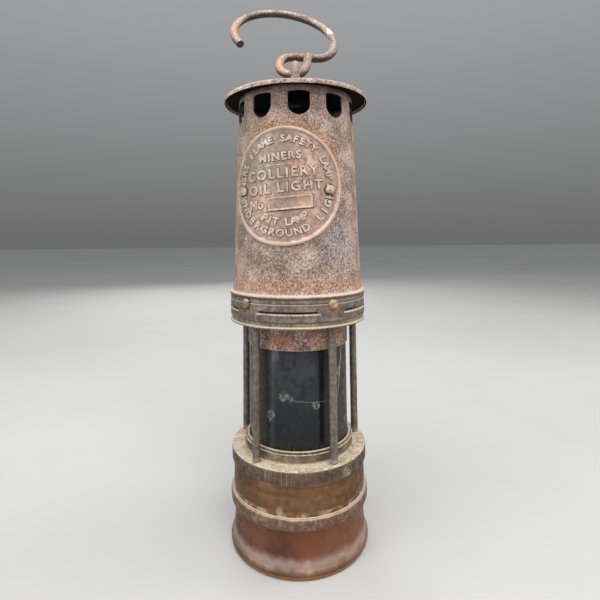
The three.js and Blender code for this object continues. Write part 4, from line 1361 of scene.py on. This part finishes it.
# %% Number box and rule
deselect()
bpy.ops.mesh.primitive_cube_add(size=1, scale=(25 * mm, 7.6 * mm, 1.3 * mm))
box = bpy.context.object
bpy.ops.object.mode_set(mode="EDIT")
bpy.ops.mesh.select_mode(type="FACE")
bpy.ops.mesh.select_all(action="DESELECT")
box_mesh = bmesh.from_edit_mesh(box.data)
for face in box_mesh.faces:
    face.select = face.normal.z > 0.9
bmesh.update_edit_mesh(box.data)
bpy.ops.mesh.inset(thickness=0.7 * mm)
bpy.ops.mesh.extrude_region_move(TRANSFORM_OT_translate={"value": (0, 0, -0.38 * mm)})
bpy.ops.transform.resize(value=(0.985, 0.94, 1), center_override=(0, 0, 0))
box.data.materials.append(letter_finish)
box.data.materials.append(plate_finish)
box.active_material_index = 1
bpy.ops.object.material_slot_assign()
bpy.ops.mesh.select_mode(type="VERT")
bpy.ops.object.mode_set(mode="OBJECT")
bpy.ops.object.transform_apply(location=True, rotation=True, scale=True)
soften(box, 0.15, 2)
raised.append(set_in_plate(box, 3.0, -10.2))
bpy.ops.mesh.primitive_cube_add(size=1, scale=(16.5 * mm, 0.55 * mm, 0.7 * mm))
rule = bpy.context.object
bpy.ops.object.transform_apply(location=True, rotation=True, scale=True)
bpy.ops.mesh.primitive_cube_add(size=1, scale=(26 * mm, 8.6 * mm, 0.24 * mm))
shadow = bpy.context.object
bpy.ops.object.transform_apply(location=True, rotation=True, scale=True)
raised.append(set_in_plate(paint(soften(shadow, 0.1), dirt_and_shade_finish), 3.1, -10.4))
soften(rule, 0.2, 2)
raised.append(set_in_plate(paint(rule, letter_finish), -1.5, 11.9))

# %% Slice, bend and taper the plate
deselect()
for piece in raised:
    piece.select_set(True)
disc.select_set(True)
bpy.context.view_layer.objects.active = disc
bpy.ops.object.join()
bpy.ops.object.mode_set(mode="EDIT")
for strip in range(-22, 23):
    bpy.ops.mesh.select_all(action="SELECT")
    bpy.ops.mesh.bisect(plane_co=(strip * 1.5 * mm, 0, 0), plane_no=(1, 0, 0), threshold=1e-7)
bpy.ops.object.mode_set(mode="OBJECT")
width = max(v.co.x for v in disc.data.vertices) - min(v.co.x for v in disc.data.vertices)
modify(disc, "SIMPLE_DEFORM", deform_method="BEND", deform_axis="Z", angle=width / (bend_r * mm))
take(disc)
disc.location = (0, -bend_r * mm, 0)
bpy.ops.object.transform_apply(location=True, rotation=False, scale=False)
tall = max(v.co.z for v in disc.data.vertices) - min(v.co.z for v in disc.data.vertices)
narrowing = (cone_wide - cone_narrow) / cone_rise / bend_r / mm
modify(disc, "SIMPLE_DEFORM", deform_method="TAPER", deform_axis="Z", factor=-narrowing * tall)
take(disc)
disc.rotation_euler = (0, 0, math.radians(plate_azimuth))
disc.location = (0, 0, plate_z * mm)
bpy.ops.object.transform_apply(location=True, rotation=True, scale=True)
tidy_mesh(disc)
finish_off(disc, "cage", "plate_bronze", "name_plate", smooth=45)

# %% Plate rivets
rivet_z = plate_z - 2.8
face_r = bonnet_r(rivet_z) + 0.3 + plate_face
for side, side_name in ((-1, "left"), (1, "right")):
    rivet = turn(f"plate_rivet_{side_name}_brass", [
        (1.1, -2.8), (1.1, 0.3), (2.75, 0.3), (2.9, 0.5), (2.9, 1.0), (2.6, 1.5), (1.9, 1.95), (1, 2.2),
        (0, 2.25),
    ], 32, ring=False)
    paint(rivet, rivet_finish)
    outwards(rivet, plate_azimuth + side * math.degrees(26.5 / bend_r), face_r, rivet_z)
    finish_off(rivet, "cage", "worn_brass", f"plate_rivet_{side_name}")

# %% [markdown]
# ## Hood, swivel and hook
#
# The hood is a shallow dish of sheet iron with a rim turned down; rust has eaten its edge uneven.
# Through its middle passes the swivel: a disc, a stem and an arch of wire. The hook hangs from the
# arch: a rod bent into a closed eye at its foot and a wide open crook above, leaning back at rest.

# %% Hood
hood_r, hood_crown, hood_sag, hood_wall = 46.5, 272, 3.6, 1.4


def hood_top(radius):
    return hood_crown - hood_sag * (radius / 46.9) ** 2


outline = [(45.5, 265.4), (46.2, 265.4), (hood_r, 265.7), (hood_r, 266.6), (hood_r, 267.6), (46.3, 268.1)]
outline += [(r, hood_top(r)) for r in rows(45.8, 3.3, 1.6)]
outline += [(r, hood_top(r) - hood_wall) for r in rows(3.3, 45.0, 1.6)]
hood = turn("hood_iron", outline, sides=200)
roughen(hood, "rust on the hood", 2.6, 0.45, 264, 273, 0.8)
paint(hood, hood_finish)
finish_off(hood, "cage", "rusty_iron", "hood", smooth=60)

# %% Swivel
disc_low, disc_high, head_high = 272.3, 275.3, 268.3
swivel = turn("swivel_iron", [
    (4.6, 266.3), (4.95, 266.6), (5, 267.3), (5, head_high), (3, head_high), (3, disc_low), (11.7, disc_low),
    (12, 272.6), (12, 274.4), (11.8, 275.0), (11.2, disc_high), (6.0, 275.32), (0, 275.3),
], 72, ring=False)
arch_r, arch_top = 8.5, 293
arch_z = arch_top - arch_r
bent = [Vector((0, -arch_r, z)) for z in (273.8, 277.0, 280.5)]
bent += [Vector((0, -arch_r * math.cos(math.radians(a)), arch_z + arch_r * math.sin(math.radians(a))))
         for a in range(0, 181, 9)]
bent += [Vector((0, arch_r, z)) for z in (280.5, 277.0, 273.8)]
arch = wire("arch", [point * mm for point in bent], 2.96, 6)
join_to(swivel, [arch])
paint(swivel, hook_finish)
finish_off(swivel, "swivel", "rusty_iron", "swivel_eye", smooth=50)
washer = turn("swivel_washer_iron", [(3.35, 268.6), (7.5, 268.6), (7.5, 270.2), (3.35, 270.2)], 48)
paint(soften(washer, 0.2), soot_and_shade_finish)
finish_off(washer, "swivel", "rusty_iron", "swivel_washer")

# %% Hook
hook_pivot_z, hook_lean = 286.7, 35
# Across, up and out to the front, in the hook's own plane. It starts at the free end of the eye,
# which laps in front of the shank, and ends at the open tip.
hook_route = [
    (8.9, 15, 4.9), (8.3, 11, 3.6), (7.2, 6.2, 2), (4.4, 1.7, 0.7), (0, 0, 0),
    (-6, 2, -0.4), (-10.4, 7.4, -0.3), (-10.4, 14.6, 0), (-6.8, 20, 0), (0, 21.2, 0),
    (10, 19.6, 0), (19.6, 20, 0), (26, 26.4, 0), (27.8, 36.4, 0), (26.2, 47.4, 0), (21.4, 58, 0),
    (11, 69.6, 0), (-2, 77.8, 0), (-15, 81.3, 0), (-28, 80.3, 0), (-39.5, 73.1, 0), (-45.05, 61, 0),
    (-44.2, 48.5, 0), (-39.2, 38.4, 0),
]
lean = math.radians(hook_lean)
leaning = [
    Vector((across, -out * math.cos(lean) + up * math.sin(lean),
            up * math.cos(lean) + out * math.sin(lean) + hook_pivot_z)) * mm
    for across, up, out in hook_route
]
hook = wire("hook_wire", sweep(leaning, 9), 2.9, 7)
soften(hook, 0.35, 2, 50)
roughen(hook, "wear on the hook", 3.0, 0.10, middle=0.85)
paint(hook, hook_finish)
finish_off(hook, "hook", "hook_iron", "hook", smooth=50)

# %% [markdown]
# ## CAD pieces that keep their shape
#
# The pieces inside the lamp are hardly ever seen, and the CAD has them right. They keep their
# meshes and get a finish each.

# %% Finishes for the CAD pieces
kept = {
    cotton_finish: ("cotton_packing", "wick"),
    leather_finish: ("filler_washer", "seal_washer", "lower_gasket", "upper_gasket"),
    gauze_finish: ("inlet_gauze", "outer_gauze", "inner_gauze"),
    brass_finish: ("burner_plate", "wick_tube", "gauze_ring"),
    steel_finish: ("lock_bolt",),
}
for finish, names in kept.items():
    for name in names:
        paint(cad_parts[name], finish)
print(sum(len(names) for names in kept.values()), "CAD pieces keep their shape")

# %% [markdown]
# ## Finish
#
# Nothing is left selected at the end.

# %% Finish
deselect()
